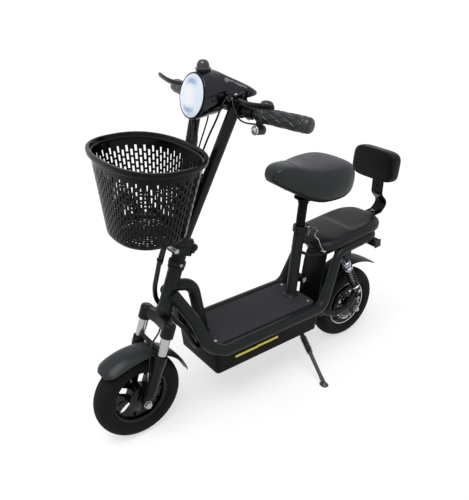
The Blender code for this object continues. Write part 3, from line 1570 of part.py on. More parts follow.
def kickstand_bracket():
    """A plate under the tray with two ears that the stand's eye turns between, on a pin."""
    pivot = at(*STAND_PIVOT)
    under = DECK_BOTTOM - GAP
    plate = block(at(0.0520, STAND_PIVOT.y - 0.0080, under - 0.0020), (0.0700, 0.0460, 0.0040), None, 0)
    parts = [rod(pivot - STAND_AXIS * 0.0090, pivot + STAND_AXIS * 0.0090, 0.0040, 8)]
    for sign in (-1, 1):
        ear = rod(pivot + STAND_AXIS * sign * 0.0034, pivot + STAND_AXIS * sign * 0.0064, 0.0100, 10)
        web_centre = pivot + STAND_AXIS * sign * 0.0050 + STAND_LIFT * 0.0120
        parts += [ear, block(web_centre, (0.0024, 0.0180, 0.0240), stand_turn(), 0)]
    tray = block(at(0.05, 0.5, under + 0.05), (0.3, 0.5, 0.1), None, 0)
    shape = cut(welded(*parts, plate), tray)
    add_object("kickstand_bracket", shape, pivot, SATIN_BLACK, 0.4)


def kickstand():
    """The leg: an eye on the pin, a round leg and a flat pad on the floor."""
    pivot = at(*STAND_PIVOT)
    foot = at(*STAND_FOOT) + Vector((0, 0, 0.0060))
    along = (foot - pivot).normalized()
    eye = rod(pivot - STAND_AXIS * 0.0030, pivot + STAND_AXIS * 0.0030, 0.0090, 14)
    neck = block(pivot - STAND_LIFT * 0.0100, (0.0060, 0.0150, 0.0200), stand_turn(), 0)
    leg = turned(
        [(0.0075, 0.016), (0.0075, 0.060), (0.0058, 0.072), (0.0055, (foot - pivot).length - 0.004)],
        pivot, along, 10,
    )
    pad = lofted([
        superellipse(at(STAND_FOOT.x, STAND_FOOT.y, z), ACROSS, Vector((0, 1, 0)), w, w * 0.8, 2.4, 8)
        for z, w in ((0, 0.0150), (0.003, 0.0150), (0.007, 0.0110), (0.011, 0.0070))
    ])
    floor = block(at(0.183, 0.55, -0.02), (0.1, 0.1, 0.04), None, 0)
    hole = rod(pivot - STAND_AXIS * 0.02, pivot + STAND_AXIS * 0.02, 0.0040 + RUNNING_GAP, 10)
    shape = cut(welded(leg, neck, eye, pad), hole, floor)
    add_object("kickstand", shape, pivot, SATIN_BLACK, 0.4)


def build():
    clear_scene()
    head_tube()
    side_rails()
    deck_tray()
    deck_plate()
    deck_mat()
    battery_and_controller()
    reflectors()
    seat_tube()
    seat_clamp()
    seat_post()
    saddle()
    rack_bed()
    rear_seat_pad()
    backrest()
    rear_fender()
    fork_crown()
    stanchions()
    fork_lowers()
    front_fender()
    tyre("front_tyre", at(0, 0, TYRE_RADIUS))
    front_rim()
    front_axle()
    brake_plate()
    brake_arm()
    stem_base()
    fold_lever()
    stem()
    basket()
    handlebar()
    grips()
    levers()
    switch_pod()
    headlight()
    bell()
    cables()
    tyre("rear_tyre", at(0, WHEELBASE, TYRE_RADIUS))
    rear_hub_motor()
    rear_axle()
    swing_arm()
    shocks()
    kickstand_bracket()
    kickstand()


build()
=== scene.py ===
"""Looks of the seated electric scooter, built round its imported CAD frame.

Metres, +Z up, front towards -Y, the rider's left at +X, as in the CAD.
"""

import math
from bisect import bisect_right

import bmesh
import bpy
from mathutils import Matrix, Vector


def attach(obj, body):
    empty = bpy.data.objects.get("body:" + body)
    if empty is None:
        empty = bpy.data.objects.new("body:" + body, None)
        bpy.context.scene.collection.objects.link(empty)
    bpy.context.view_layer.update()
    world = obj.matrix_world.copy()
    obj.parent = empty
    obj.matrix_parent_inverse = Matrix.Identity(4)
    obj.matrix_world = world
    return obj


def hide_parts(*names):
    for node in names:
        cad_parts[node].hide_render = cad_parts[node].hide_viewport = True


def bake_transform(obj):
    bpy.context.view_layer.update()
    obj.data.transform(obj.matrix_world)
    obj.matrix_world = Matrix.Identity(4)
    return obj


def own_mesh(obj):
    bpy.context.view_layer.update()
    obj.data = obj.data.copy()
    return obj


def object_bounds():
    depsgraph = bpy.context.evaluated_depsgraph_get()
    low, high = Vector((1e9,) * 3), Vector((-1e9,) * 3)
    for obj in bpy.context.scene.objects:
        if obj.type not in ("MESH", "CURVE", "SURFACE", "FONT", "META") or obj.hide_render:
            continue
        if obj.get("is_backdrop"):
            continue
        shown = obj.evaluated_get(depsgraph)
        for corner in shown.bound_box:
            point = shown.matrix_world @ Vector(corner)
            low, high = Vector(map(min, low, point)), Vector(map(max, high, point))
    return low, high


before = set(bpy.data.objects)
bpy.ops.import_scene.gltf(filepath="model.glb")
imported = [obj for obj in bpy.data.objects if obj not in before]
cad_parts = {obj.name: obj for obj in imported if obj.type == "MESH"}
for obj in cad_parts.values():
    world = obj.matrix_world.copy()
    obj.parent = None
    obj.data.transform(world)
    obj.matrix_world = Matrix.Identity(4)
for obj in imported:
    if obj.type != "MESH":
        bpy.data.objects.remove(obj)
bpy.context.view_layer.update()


# Studio: a white floor that meets a white surround, under one broad soft lamp almost overhead. The
# surround and the floor look white, but throw only a little light up at the scooter.


def hex_colour(text):
    """The linear RGBA of an sRGB hex value."""
    shares = [int(text[i:i + 2], 16) / 255 for i in (1, 3, 5)]
    linear = [s / 12.92 if s <= 0.04045 else ((s + 0.055) / 1.055) ** 2.4 for s in shares]
    return (*linear, 1.0)


def add_node(tree, kind, settings=None, **inputs):
    """A node with its settings made and its inputs set or linked. Spaces in names become _."""
    node = tree.nodes.new(kind)
    for name, value in (settings or {}).items():
        setattr(node, name, value)
    for name, value in inputs.items():
        key = int(name[1:]) if name[1:].isdigit() else name.replace("_", " ")
        socket = node.inputs[key]
        if isinstance(value, bpy.types.NodeSocket):
            tree.links.new(value, socket)
        else:
            socket.default_value = value
    return node


def looked_at(tree):
    """1 where a camera, glossy or transmission ray arrives, and 0 where scattered light does."""
    seen = add_node(tree, "ShaderNodeLightPath")
    bounced = add_node(
        tree, "ShaderNodeMath", {"operation": "MAXIMUM"},
        _0=seen.outputs["Is Glossy Ray"], _1=seen.outputs["Is Transmission Ray"],
    )
    return add_node(
        tree, "ShaderNodeMath", {"operation": "MAXIMUM"},
        _0=seen.outputs["Is Camera Ray"], _1=bounced.outputs[0],
    ).outputs[0]


surround = bpy.data.worlds.new("surround")
bpy.context.scene.world = surround
surround.use_nodes = True
tree = surround.node_tree
tree.nodes.clear()
level = add_node(tree, "ShaderNodeMapRange", Value=looked_at(tree), To_Min=0.34, To_Max=1.0)
glow = add_node(tree, "ShaderNodeBackground", Color=(1, 1, 1, 1), Strength=level.outputs[0])
add_node(tree, "ShaderNodeOutputWorld", Surface=glow.outputs[0])

FLOOR_HALF = 30.0
floor_mesh = bpy.data.meshes.new("floor")
floor_mesh.from_pydata(
    [(x * FLOOR_HALF, y * FLOOR_HALF, 0) for x, y in ((-1, -1), (1, -1), (1, 1), (-1, 1))],
    [], [(0, 1, 2, 3)],
)
floor = bpy.data.objects.new("floor", floor_mesh)
bpy.context.scene.collection.objects.link(floor)
floor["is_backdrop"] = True
floor_paint = bpy.data.materials.new("matt_white_floor")
floor_paint.use_nodes = True
tree = floor_paint.node_tree
tree.nodes.clear()
seen_white = add_node(
    tree, "ShaderNodeAddShader",
    _0=add_node(tree, "ShaderNodeBsdfDiffuse", Color=(0.40, 0.40, 0.40, 1)).outputs[0],
    _1=add_node(tree, "ShaderNodeEmission", Color=(1, 1, 1, 1), Strength=0.63).outputs[0],
)
thrown_light = add_node(tree, "ShaderNodeBsdfDiffuse", Color=(0.32, 0.32, 0.32, 1))
either = add_node(
    tree, "ShaderNodeMixShader",
    _0=looked_at(tree), _1=thrown_light.outputs[0], _2=seen_white.outputs[0],
)
add_node(tree, "ShaderNodeOutputMaterial", Surface=either.outputs[0])
floor_mesh.materials.append(floor_paint)

sun = bpy.data.objects.new("soft_lamp", bpy.data.lights.new("soft_lamp", "SUN"))
sun.data.energy = 2.5
sun.data.angle = math.radians(44)
sun.rotation_mode = "QUATERNION"
sun.rotation_quaternion = Vector((0.20, -0.36, 0.91)).to_track_quat("Z", "Y")
bpy.context.scene.collection.objects.link(sun)
bpy.context.scene.view_settings.view_transform = "Standard"

# Camera: in front of the scooter on its left, as the photograph was taken. The focal length was
# worked out in pixels of the picture, whose longer side is its height.
CAMERA_AZIMUTH = math.radians(53.005)
CAMERA_ELEVATION = math.radians(26.973)
CAMERA_AIM = Vector((0, -0.079, 0.469))
CAMERA_DISTANCE = 1.6484
FOCAL_PIXELS, PICTURE_PIXELS = 584.93, 500
SENSOR_MM = 36
back = Vector((
    math.sin(CAMERA_AZIMUTH) * math.cos(CAMERA_ELEVATION),
    -math.cos(CAMERA_AZIMUTH) * math.cos(CAMERA_ELEVATION),
    math.sin(CAMERA_ELEVATION),
))
camera = bpy.data.objects.new("camera", bpy.data.cameras.new("camera"))
camera.location = CAMERA_AIM + back * CAMERA_DISTANCE
camera.rotation_mode = "QUATERNION"
camera.rotation_quaternion = (-back).to_track_quat("-Z", "Y")
camera.data.sensor_width = SENSOR_MM
camera.data.lens = FOCAL_PIXELS / PICTURE_PIXELS * SENSOR_MM
bpy.context.scene.collection.objects.link(camera)
bpy.context.scene.camera = camera


# Frame: two steel rails bent from one length of tube each, welded to the head tube in front and
# carried up behind the saddle as the passenger rack. Satin black powder coat, baked on.

MIDWAY = 0.416
ACROSS = Vector((1, 0, 0))
UPWARD = Vector((0, 0, 1))
BACKWARD = Vector((0, 1, 0))
SIDES = {1: "left", -1: "right"}
RAKE = math.radians(20)
STEERER_BEHIND = 0.015
AXLE_HEIGHT = 0.1275
STEER_AXIS = Vector((0, math.sin(RAKE), math.cos(RAKE)))
STEER_FORWARD = Vector((0, -math.cos(RAKE), math.sin(RAKE)))


def at(x, y, z):
    """A point whose y is measured back from the front axle."""
    return Vector((x, y - MIDWAY, z))


def on_fork(height, x=0.0, forward=0.0):
    """A point this far above the front axle along the rake, in the plane of the fork legs."""
    return at(x, 0, AXLE_HEIGHT) + STEER_AXIS * height + STEER_FORWARD * forward


def on_steerer(height, forward=0.0, x=0.0):
    """A point on the steering axis, which runs behind the fork legs."""
    return on_fork(height, x, forward - STEERER_BEHIND)


def arcs(corners, radii):
    """A bent tube's centre line, with an arc of the bend's radius at each inner corner."""
    finest = math.radians(7)
    route = [corners[0]]
    for before, corner, after, radius in zip(corners, corners[1:], corners[2:], radii):
        inward = (before - corner).normalized()
        outward = (after - corner).normalized()
        half = inward.angle(outward) / 2
        centre = corner + (inward + outward).normalized() * radius / math.sin(half)
        first = corner + inward * radius / math.tan(half) - centre
        last = corner + outward * radius / math.tan(half) - centre
        turn = first.angle(last)
        steps = max(2, math.ceil(turn / finest))
        for step in range(steps + 1):
            share = step / steps
            blend = first * math.sin((1 - share) * turn) + last * math.sin(share * turn)
            route.append(centre + blend / math.sin(turn))
    route.append(corners[-1])
    return route


def banded(rows, capped=True):
    """Points and faces of a skin over rows of equally many points."""
    count = len(rows[0])
    points = [point for row in rows for point in row]
    last = len(points) - count
    faces = []
    for start in range(0, last, count):
        for i in range(count):
            j = (i + 1) % count
            faces.append((start + i, start + j, start + count + j, start + count + i))
    if capped:
        faces += [tuple(range(count)), tuple(range(last, len(points)))]
    return points, faces


def rejoined(rows):
    """The skin of rows that run round to the first one again."""
    points, faces = banded([*rows, rows[0]], capped=False)
    last = len(points) - len(rows[0])
    return points[:last], [tuple(i % last for i in face) for face in faces]


def around(count):
    """Even angles round a full turn."""
    return [math.tau * k / count for k in range(count)]


def square_to(direction):
    """Two directions square to this one and to each other."""
    first = direction.orthogonal().normalized()
    return first, direction.cross(first)


def sweep(route, radius, sides=28):
    """A round tube along a route. The radius is one number, or one for each point."""
    rows = []
    normal = None
    for i, point in enumerate(route):
        before = route[max(i - 1, 0)]
        after = route[min(i + 1, len(route) - 1)]
        along = (after - before).normalized()
        if normal is None:
            normal = along.orthogonal().normalized()
        normal = (normal - along * normal.dot(along)).normalized()
        other = along.cross(normal)
        size = radius if isinstance(radius, (int, float)) else radius[i]
        rows.append([
            point + (normal * math.cos(a) + other * math.sin(a)) * size for a in around(sides)
        ])
    return banded(rows)


def lathe(profile, origin, direction, steps=56, ring=False):
    """A turned solid from (radius, distance) pairs; a ring has a closed profile and no ends."""
    direction = direction.normalized()
    first, second = square_to(direction)
    spokes = [first * math.cos(a) + second * math.sin(a) for a in around(steps)]
    rows = []
    for radius, distance in profile:
        centre = origin + direction * distance
        rows.append([centre + spoke * radius for spoke in spokes])
    return rejoined(rows) if ring else banded(rows)


def cylinder(start, end, radius, soft=0.0008, steps=32):
    """A short round bar with softened rims."""
    length = (end - start).length
    profile = [(radius - soft, 0), (radius, soft), (radius, length - soft), (radius - soft, length)]
    return lathe(profile, start, end - start, steps)


def merged(*shapes):
    """One shape of several."""
    points, faces = [], []
    for some_points, some_faces in shapes:
        start = len(points)
        points += some_points
        faces += [tuple(start + i for i in face) for face in some_faces]
    return points, faces


def piece(name, shape, material, body, slot, *nodes, bevel=0.0, sharp=38):
    """An object from a shape: it rides on a body, unless that is None, and stands for CAD nodes."""
    mesh = bpy.data.meshes.new(name)
    mesh.from_pydata([tuple(p) for p in shape[0]], [], shape[1])
    cleaner = bmesh.new()
    cleaner.from_mesh(mesh)
    bmesh.ops.remove_doubles(cleaner, verts=cleaner.verts, dist=1e-6)
    bmesh.ops.recalc_face_normals(cleaner, faces=cleaner.faces)
    cleaner.to_mesh(mesh)
    cleaner.free()
    mesh.materials.append(material)
    mesh.shade_smooth()
    mesh.set_sharp_from_angle(angle=math.radians(sharp))
    obj = bpy.data.objects.new(name, mesh)
    bpy.context.scene.collection.objects.link(obj)
    if bevel:
        soft = obj.modifiers.new("soft_edges", "BEVEL")
        soft.width = bevel
        soft.segments = 3
        soft.limit_method = "ANGLE"
        soft.angle_limit = math.radians(40)
    if body:
        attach(obj, body)
    if nodes:
        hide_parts(*nodes)
    return obj


def coated(
    name, shade, patch, roughness, grain_mm, depth_mm, metallic=0.0, shine=0.2, patch_mm=60.0
):
    """A material whose colour and gloss drift a little in patches, over a fine grain."""
    material = bpy.data.materials.new(name)
    material.use_nodes = True
    tree = material.node_tree
    shader = tree.nodes["Principled BSDF"]
    where = add_node(tree, "ShaderNodeTexCoord")
    cloud = add_node(
        tree, "ShaderNodeTexNoise",
        Vector=where.outputs["Object"], Scale=1000 / patch_mm, Detail=4.0, Roughness=0.6,
    )
    colour = add_node(
        tree, "ShaderNodeMix", {"data_type": "RGBA"},
        _0=cloud.outputs[0], _6=hex_colour(shade), _7=hex_colour(patch),
    )
    gloss = add_node(
        tree, "ShaderNodeMapRange",
        Value=cloud.outputs[0], From_Min=0.3, From_Max=0.7,
        To_Min=max(roughness - 0.05, 0.02), To_Max=roughness + 0.05,
    )
    grain = add_node(
        tree, "ShaderNodeTexNoise",
        Vector=where.outputs["Object"], Scale=1000 / grain_mm, Detail=2.0,
    )
    relief = add_node(
        tree, "ShaderNodeBump",
        Height=grain.outputs[0], Distance=depth_mm / 1000, Strength=0.6,
    )
    tree.links.new(colour.outputs[2], shader.inputs["Base Color"])
    tree.links.new(gloss.outputs[0], shader.inputs["Roughness"])
    tree.links.new(relief.outputs[0], shader.inputs["Normal"])
    shader.inputs["Metallic"].default_value = metallic
    shader.inputs["Specular IOR Level"].default_value = 0.5 if metallic else shine
    return material


# Polyester powder coat: a satin film with a faint orange peel, which shows as a soft broken
# highlight. The peel is about 1 mm in life and is drawn at 2.5 mm so that it shows.
powder_coat = coated("satin_powder_coat", "#1A1D1E", "#212526", 0.36, 2.5, 0.05, shine=0.14)

RAIL_RADIUS, RACK_TUBE_RADIUS = 0.0170, 0.0140
RAIL_X, RACK_X = 0.095, 0.082
DRAWN_BEHIND, DRAWN_ABOVE, DRAWN_OVER = 0.560, 0.2300, 0.1500


def rail_route(side):
    """From the head tube down beside the deck, and up behind it to the back of the rack."""
    corners = [
        at(side * 0.015, 0.119, 0.412),
        at(side * 0.050, 0.166, 0.325),
        at(side * 0.084, 0.188, 0.247),
        at(side * RAIL_X, 0.232, 0.2245),
        at(side * RAIL_X, 0.609, 0.2235),
        at(side * 0.0870, 0.652, 0.3200),
        at(side * RACK_X, 0.680, 0.3905),
        at(side * RACK_X, 0.848, 0.4059),
        at(side * 0.0002, 0.850, 0.4061),
    ]
    return arcs(corners, [0.090, 0.050, 0.035, 0.040, 0.060, 0.040, 0.040])


def rail_radii(route):
    """The tube is drawn down behind the deck, from 34 mm across to 28 mm at the rack."""
    radii = []
    for point in route:
        behind = point.y > at(0, DRAWN_BEHIND, 0).y
        share = min(max((point.z - DRAWN_ABOVE) / DRAWN_OVER, 0.0), 1.0) if behind else 0.0
        radii.append(RAIL_RADIUS - (RAIL_RADIUS - RACK_TUBE_RADIUS) * share)
    return radii


def weld_bead(centre, direction, radius):
    """The ring of weld where one tube meets another, laid in 24 overlapping drops."""
    direction = direction.normalized()
    first, second = square_to(direction)
    rows = []
    for angle in around(72):
        outward = first * math.cos(angle) + second * math.sin(angle)
        size = 0.0022 * (1 + 0.16 * math.sin(angle * 24))
        rows.append([
            centre + outward * (radius + size * math.cos(a)) + direction * size * math.sin(a)
            for a in around(8)
        ])
    return rejoined(rows)


def plate(outline, origin, inner, outer):
    """A flat upright plate cut to (y, z) pairs, between two distances from the middle."""
    return banded([[origin + Vector((x, y, z)) for y, z in outline] for x in (inner, outer)])


SWING_PIVOT = at(0, 0.618, 0.191)
SHOCK_TOP = at(0, 0.710, 0.356)
lug_profile = [(0.0085, 0.0787), (0.0100, 0.0795), (0.0100, 0.0870), (0.0085, 0.0878)]
lug_pin_profile = [(0.0052, 0.0500), (0.0052, 0.0880), (0.0040, 0.0885)]
lug_outline = [
    (-0.016, 0.034), (-0.0105, -0.003), (-0.007, -0.008), (0.000, -0.010), (0.007, -0.008),
    (0.010, -0.003), (0.006, 0.034),
]
shock_ear_outline = [
    (-0.017, 0.040), (-0.0085, -0.003), (-0.005, -0.0072), (0.0, -0.0085), (0.005, -0.0072),
    (0.0085, -0.003), (0.017, 0.040),
]
for side, word in SIDES.items():
    route, outward = rail_route(side), ACROSS * side
    rail = merged(
        sweep(route, rail_radii(route)),
        lathe(lug_profile, SWING_PIVOT, outward, 32),
        lathe(lug_pin_profile, SWING_PIVOT, outward, 24),
        plate(lug_outline, SWING_PIVOT, side * 0.0800, side * 0.0850),
        plate(shock_ear_outline, SHOCK_TOP, side * 0.0895, side * 0.0930),
        cylinder(SHOCK_TOP + outward * 0.0690, SHOCK_TOP + outward * 0.0965, 0.0042),
    )
    piece(f"rail_{word}", rail, powder_coat, "frame", "frame_paint", f"side_rail_{word}")


# Head tube: a machined tube with a pressed bearing cup at each end, and the bent tube from its
# back down to the deck. Its front is left bare. Same powder coat.

HEAD_BOTTOM, HEAD_TOP = 0.2515, 0.3850
HEAD_RADIUS, CUP_RADIUS = 0.0195, 0.0225
HEAD_LENGTH = HEAD_TOP - HEAD_BOTTOM
cup_profile = [
    (CUP_RADIUS - 0.0012, 0), (CUP_RADIUS, 0.0012), (CUP_RADIUS, 0.0090),
    (HEAD_RADIUS + 0.0006, 0.0115), (HEAD_RADIUS, 0.0130),
]
head_profile = cup_profile + [(radius, HEAD_LENGTH - d) for radius, d in reversed(cup_profile)]
neck_route = arcs([at(0, 0.128, 0.4285), at(0, 0.193, 0.4100), at(0, 0.2265, 0.2225)], [0.046])
piece(
    "head_tube_shell",
    merged(
        lathe(head_profile, on_steerer(HEAD_BOTTOM), STEER_AXIS),
        sweep(neck_route, RAIL_RADIUS),
        weld_bead(at(0, 0.1405, 0.4250), Vector((0, 1, -0.28)), RAIL_RADIUS - 0.0005),
        weld_bead(at(0, 0.2245, 0.2425), Vector((0, 0.18, -1)), RAIL_RADIUS - 0.0005),
    ),
    powder_coat, "frame", "frame_paint", "head_tube",
)


# Deck: a pressed steel tray with the battery and controller inside, closed by a plate, under a
# rubber mat with a screw near each corner. A reflective strip runs along each side.


def recoat(material, *nodes):
    """Gives CAD nodes that show their own shape a finish."""
    for node in nodes:
        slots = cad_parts[node].data.materials
        slots.clear()
        slots.append(material)


def superellipse(centre, across, along, half_a, half_b, power, count):
    """Points of an oval outline, squarer with a higher power, in the plane of two directions."""
    ring = []
    for i in range(count):
        angle = math.tau * (i + 0.5) / count
        c, s = math.cos(angle), math.sin(angle)
        a = half_a * math.copysign(abs(c) ** (2 / power), c)
        b = half_b * math.copysign(abs(s) ** (2 / power), s)
        ring.append(centre + across * a + along * b)
    return ring


def rounded_rectangle(front, rear, half_width, z, radius, steps=6):
    """A level outline between two distances back, with round corners."""
    centre, half_length = at(0, (front + rear) / 2, z), (rear - front) / 2
    ring = []
    for turn, (right, back) in enumerate(((1, 1), (-1, 1), (-1, -1), (1, -1))):
        for i in range(steps + 1):
            angle = (turn + i / steps) * math.pi / 2
            a = right * (half_width - radius) + radius * math.cos(angle)
            b = back * (half_length - radius) + radius * math.sin(angle)
            ring.append(centre + ACROSS * a + BACKWARD * b)
    return ring


PLATE_TOP, MAT_TOP, DECK_BOTTOM = 0.2320, 0.2415, 0.1490
DECK_FRONT, DECK_REAR = 0.200, 0.600
tray_rows = [
    rounded_rectangle(front, rear, half_width, z, corner) for z, front, rear, half_width, corner in (
        (DECK_BOTTOM, 0.2120, 0.5860, 0.0880, 0.009),
        (DECK_BOTTOM + 0.0010, 0.2080, 0.5900, 0.0918, 0.010),
        (DECK_BOTTOM + 0.0040, 0.2062, 0.5918, 0.0937, 0.011),
        (DECK_BOTTOM + 0.0100, 0.2058, 0.5922, 0.0942, 0.012),
        (PLATE_TOP - 0.0045, DECK_FRONT, DECK_REAR, 0.0990, 0.013),
    )
]
# The same powder coat, flatter and darker than on the rails: painted shade on the tray below the rails
deck_paint_painted_shade = coated("deck_powder_painted_shade", "#0B0C0C", "#101111", 0.50, 2.5, 0.05, shine=0.07)
piece("deck_tray_shell", banded(tray_rows), deck_paint_painted_shade, "frame", "frame_paint", "deck_tray")
recoat(deck_paint_painted_shade, "deck_plate")

# Moulded rubber: dull, with a pebbled skin and a faint bloom that greys it in patches
mat_rubber = coated(
    "moulded_mat_rubber", "#343338", "#3D3C41", 0.72, 3.0, 0.30, shine=0.12, patch_mm=90
)
MAT_FRONT, MAT_REAR, MAT_HALF = 0.2065, 0.5950, 0.0785
mat_rows = [
    rounded_rectangle(MAT_FRONT + inset, MAT_REAR - inset, MAT_HALF - inset, z, 0.016)
    for z, inset in (
        (PLATE_TOP + 0.0003, 0), (MAT_TOP - 0.0018, 0), (MAT_TOP - 0.0006, 0.0005), (MAT_TOP, 0.002)
    )
]
piece("deck_mat_sheet", banded(mat_rows), mat_rubber, "frame", "mat_rubber", "deck_mat")

# Two arcs moulded into the mat round the foot of the seat tube
SEAT_FOOT_Y = 0.5600
swirls = []
for radius, spread in ((0.062, 62), (0.086, 48)):
    angles = [math.radians(a) for a in range(-spread, spread + 1, 4)]
    ridge = [
        at(radius * math.sin(a), SEAT_FOOT_Y - radius * math.cos(a), MAT_TOP - 0.0002) for a in angles
    ]
    swirls.append(sweep(ridge, 0.0009, 10))
piece("mat_arcs", merged(*swirls), mat_rubber, "frame", "mat_rubber")

# Zinc-plated steel: a cool silver with a slight brushed unevenness, on every nut and screw
zinc = coated("zinc_plated_steel", "#B4B6B8", "#9EA1A5", 0.30, 1.2, 0.04, metallic=1.0, patch_mm=12)


def screw_head(centre, direction, radius=0.0052, height=0.0022):
    """A pan-head screw with a hexagonal socket."""
    dome = [
        (radius, 0), (radius, height * 0.45), (radius * 0.86, height * 0.85),
        (radius * 0.52, height), (radius * 0.48, height * 0.35),
    ]
    return lathe(dome, centre, direction, 24)


mat_screws = [
    screw_head(at(side * 0.062, y, MAT_TOP - 0.0002), UPWARD)
    for y in (0.5800, 0.2230) for side in SIDES
]
piece("mat_screws", merged(*mat_screws), zinc, "frame", "zinc_plate")

# Retroreflective film: bright yellow with a fine mesh of seals under a clear face. The mesh's
# cells are 2 mm in life and are drawn at 4 mm. Its faint glow is painted light for the light it throws
# back.
film = coated("reflective_film_painted_glow", "#E2DC52", "#ECE66A", 0.30, 1.0, 0.02, patch_mm=20)
tree = film.node_tree
shader = tree.nodes["Principled BSDF"]
where = add_node(tree, "ShaderNodeTexCoord")
cells = add_node(
    tree, "ShaderNodeTexVoronoi", {"feature": "DISTANCE_TO_EDGE"},
    Vector=where.outputs["Object"], Scale=1000 / 4,
)
seal = add_node(
    tree, "ShaderNodeMapRange", Value=cells.outputs[0], From_Max=0.10, To_Min=0.35, To_Max=0.0
)
meshed = add_node(
    tree, "ShaderNodeMix", {"data_type": "RGBA"},
    _0=seal.outputs[0], _6=shader.inputs["Base Color"].links[0].from_socket,
    _7=hex_colour("#B5AE3C"),
)
tree.links.new(meshed.outputs[2], shader.inputs["Base Color"])
# A painted glow: the film gives off a little light of its own, in place of the light it throws back
shader.inputs["Emission Color"].default_value = hex_colour("#DDD74E")
shader.inputs["Emission Strength"].default_value = 0.22
recoat(film, "reflector_left", "reflector_right")

# Battery in blue heat-shrink sleeve, and the controller's bare cast case, both inside the tray
shrink_sleeve = coated("pvc_shrink_sleeve", "#2C4660", "#35526E", 0.35, 4.0, 0.2)
cast_case = coated("bare_cast_aluminium", "#A6A8AA", "#97999C", 0.42, 1.5, 0.08, metallic=1.0)
recoat(shrink_sleeve, "battery_pack")
recoat(cast_case, "controller")


# Fork: forged crown on the steerer, two hard-chromed stanchions, and cast lowers that slide on
# them, joined by an arch over the mudguard. Dust seals of black rubber cap the lowers.

LEG_X = 0.0585
STANCHION_RADIUS = 0.0130
seal_rubber = coated("black_seal_rubber", "#080809", "#0C0C0D", 0.6, 2.0, 0.05, shine=0.08)
# Semi-gloss black over the fork's castings, darker than the frame's powder coat
fork_black = coated("semi_gloss_fork_black", "#0C0D0E", "#121314", 0.30, 3.0, 0.04, shine=0.16)


def crown_ring(height, trim):
    """The crown's outline: wide at the legs, and bulging back round the steerer between them."""
    half = LEG_X + 0.0155 - trim
    ring = []
    for angle in around(72):
        c, s = math.cos(angle), math.sin(angle)
        x = half * math.copysign(abs(c) ** 0.55, c)
        bulge = max(0.0, 1 - abs(x) / LEG_X)
        reach = (0.0130 - trim) * math.copysign(abs(s) ** 0.75, s)
        swell = 0.0070 * bulge * (1 if reach > 0 else -1)
        ring.append(on_fork(height, x, reach - STEERER_BEHIND * bulge ** 0.8 + swell))
    return ring


crown_rows = [crown_ring(height, trim) for height, trim in (
    (0.2140, 0.0022), (0.2152, 0.0008), (0.2170, 0.0), (0.2380, 0.0), (0.2408, 0.0008),
    (0.2420, 0.0022),
)]
shoulder = [
    (0.0160, 0), (0.0180, 0.0016), (0.0180, 0.0345), (0.0172, 0.0375), (0.0150, 0.0400),
    (0.0110, 0.0420), (0.0105, 0.0412),
]
steerer = [(0.0200, 0.2350), (0.0215, 0.2420), (0.0215, 0.2512), (0.0143, 0.2512), (0.0143, 0.4300)]
crown = merged(
    banded(crown_rows),
    *[lathe(shoulder, on_fork(0.202, side * LEG_X), STEER_AXIS) for side in SIDES],
    lathe(steerer, on_steerer(0), STEER_AXIS),
)
piece("crown_forging", crown, fork_black, "steering", "frame_paint", "fork_crown")

# Hard chrome: a mirror with hair-fine grinding marks round the tube
chrome = coated("hard_chrome", "#B4B6B8", "#A2A4A8", 0.12, 3.0, 0.02, metallic=1.0, patch_mm=14)
for side, word in SIDES.items():
    x = side * LEG_X
    tube = cylinder(on_fork(0.078, x), on_fork(0.236, x), STANCHION_RADIUS, 0.0006, 48)
    piece(f"stanchion_tube_{word}", tube, chrome, "steering", "chromed_tube", f"stanchion_{word}")

leg_profile = [
    (0.0090, 0.0200), (0.0118, 0.0216), (0.0140, 0.0290), (0.0151, 0.0600), (0.0160, 0.1190),
    (0.0175, 0.1240), (0.0175, 0.1450), (0.0168, 0.1470),
]
seal_profile = [
    (0.0168, 0.1470), (0.0172, 0.1480), (0.0165, 0.1494), (0.0148, 0.1500), (0.0134, 0.1500),
    (0.0134, 0.1440), (0.0150, 0.1440),
]
arch_route = arcs(
    [on_fork(0.130, 0.0575), on_fork(0.156, 0.050), on_fork(0.156, -0.050), on_fork(0.130, -0.0575)],
    [0.010, 0.010],
)
lowers = [sweep(arch_route, 0.0066, 20)]
dropout = [
    (-0.0130, -0.0165), (0.0, -0.0180), (0.0130, -0.0165), (0.0148, 0.0), (0.0138, 0.0330),
    (-0.0138, 0.0330), (-0.0148, 0.0),
]
for side in SIDES:
    lowers.append(lathe(leg_profile, on_fork(0, side * LEG_X), STEER_AXIS))
    lowers.append(banded([[on_fork(h, side * x, f) for f, h in dropout] for x in (0.0518, 0.0584)]))
lower_casting = merged(*lowers)
piece(
    "fork_lower_casting", lower_casting, fork_black, "fork", "frame_paint", "fork_lowers", bevel=0.0006
)
seals = [lathe(seal_profile, on_fork(0, side * LEG_X), STEER_AXIS, ring=True) for side in SIDES]
piece("dust_seals", merged(*seals), seal_rubber, "fork", "cable_sleeve")


# Front wheel: a black cast alloy wheel with five forked spokes and a drum-brake hub, in a road
# tyre of 10 x 2.125 inch. Nuts on a steel axle hold it in the dropouts. Both tyres are made here.

TYRE_MIDDLE, TYRE_HEIGHT, TYRE_HALF = 0.1000, 0.0275, 0.0315
TREAD_BLOCKS, BLOCK_STEPS = 44, 6
# Tyre rubber: matt and slightly grey where the tread has touched the ground
tyre_rubber = coated("tyre_rubber", "#0F1010", "#171817", 0.72, 2.0, 0.12, shine=0.12, patch_mm=40)


def tread_cut(x, radius, block):
    """How deep the tread is cut: a groove on each side of the centre rib, and slanted sipes."""
    reach = abs(x)
    if radius <= 0.112:
        return 0.0
    if 0.0035 < reach < 0.0055:
        return 0.0014
    along = (block + reach / 0.0125 * 0.9) % 1.0
    return 0.0016 if 0.0055 < reach < 0.0285 and along < 0.28 else 0.0


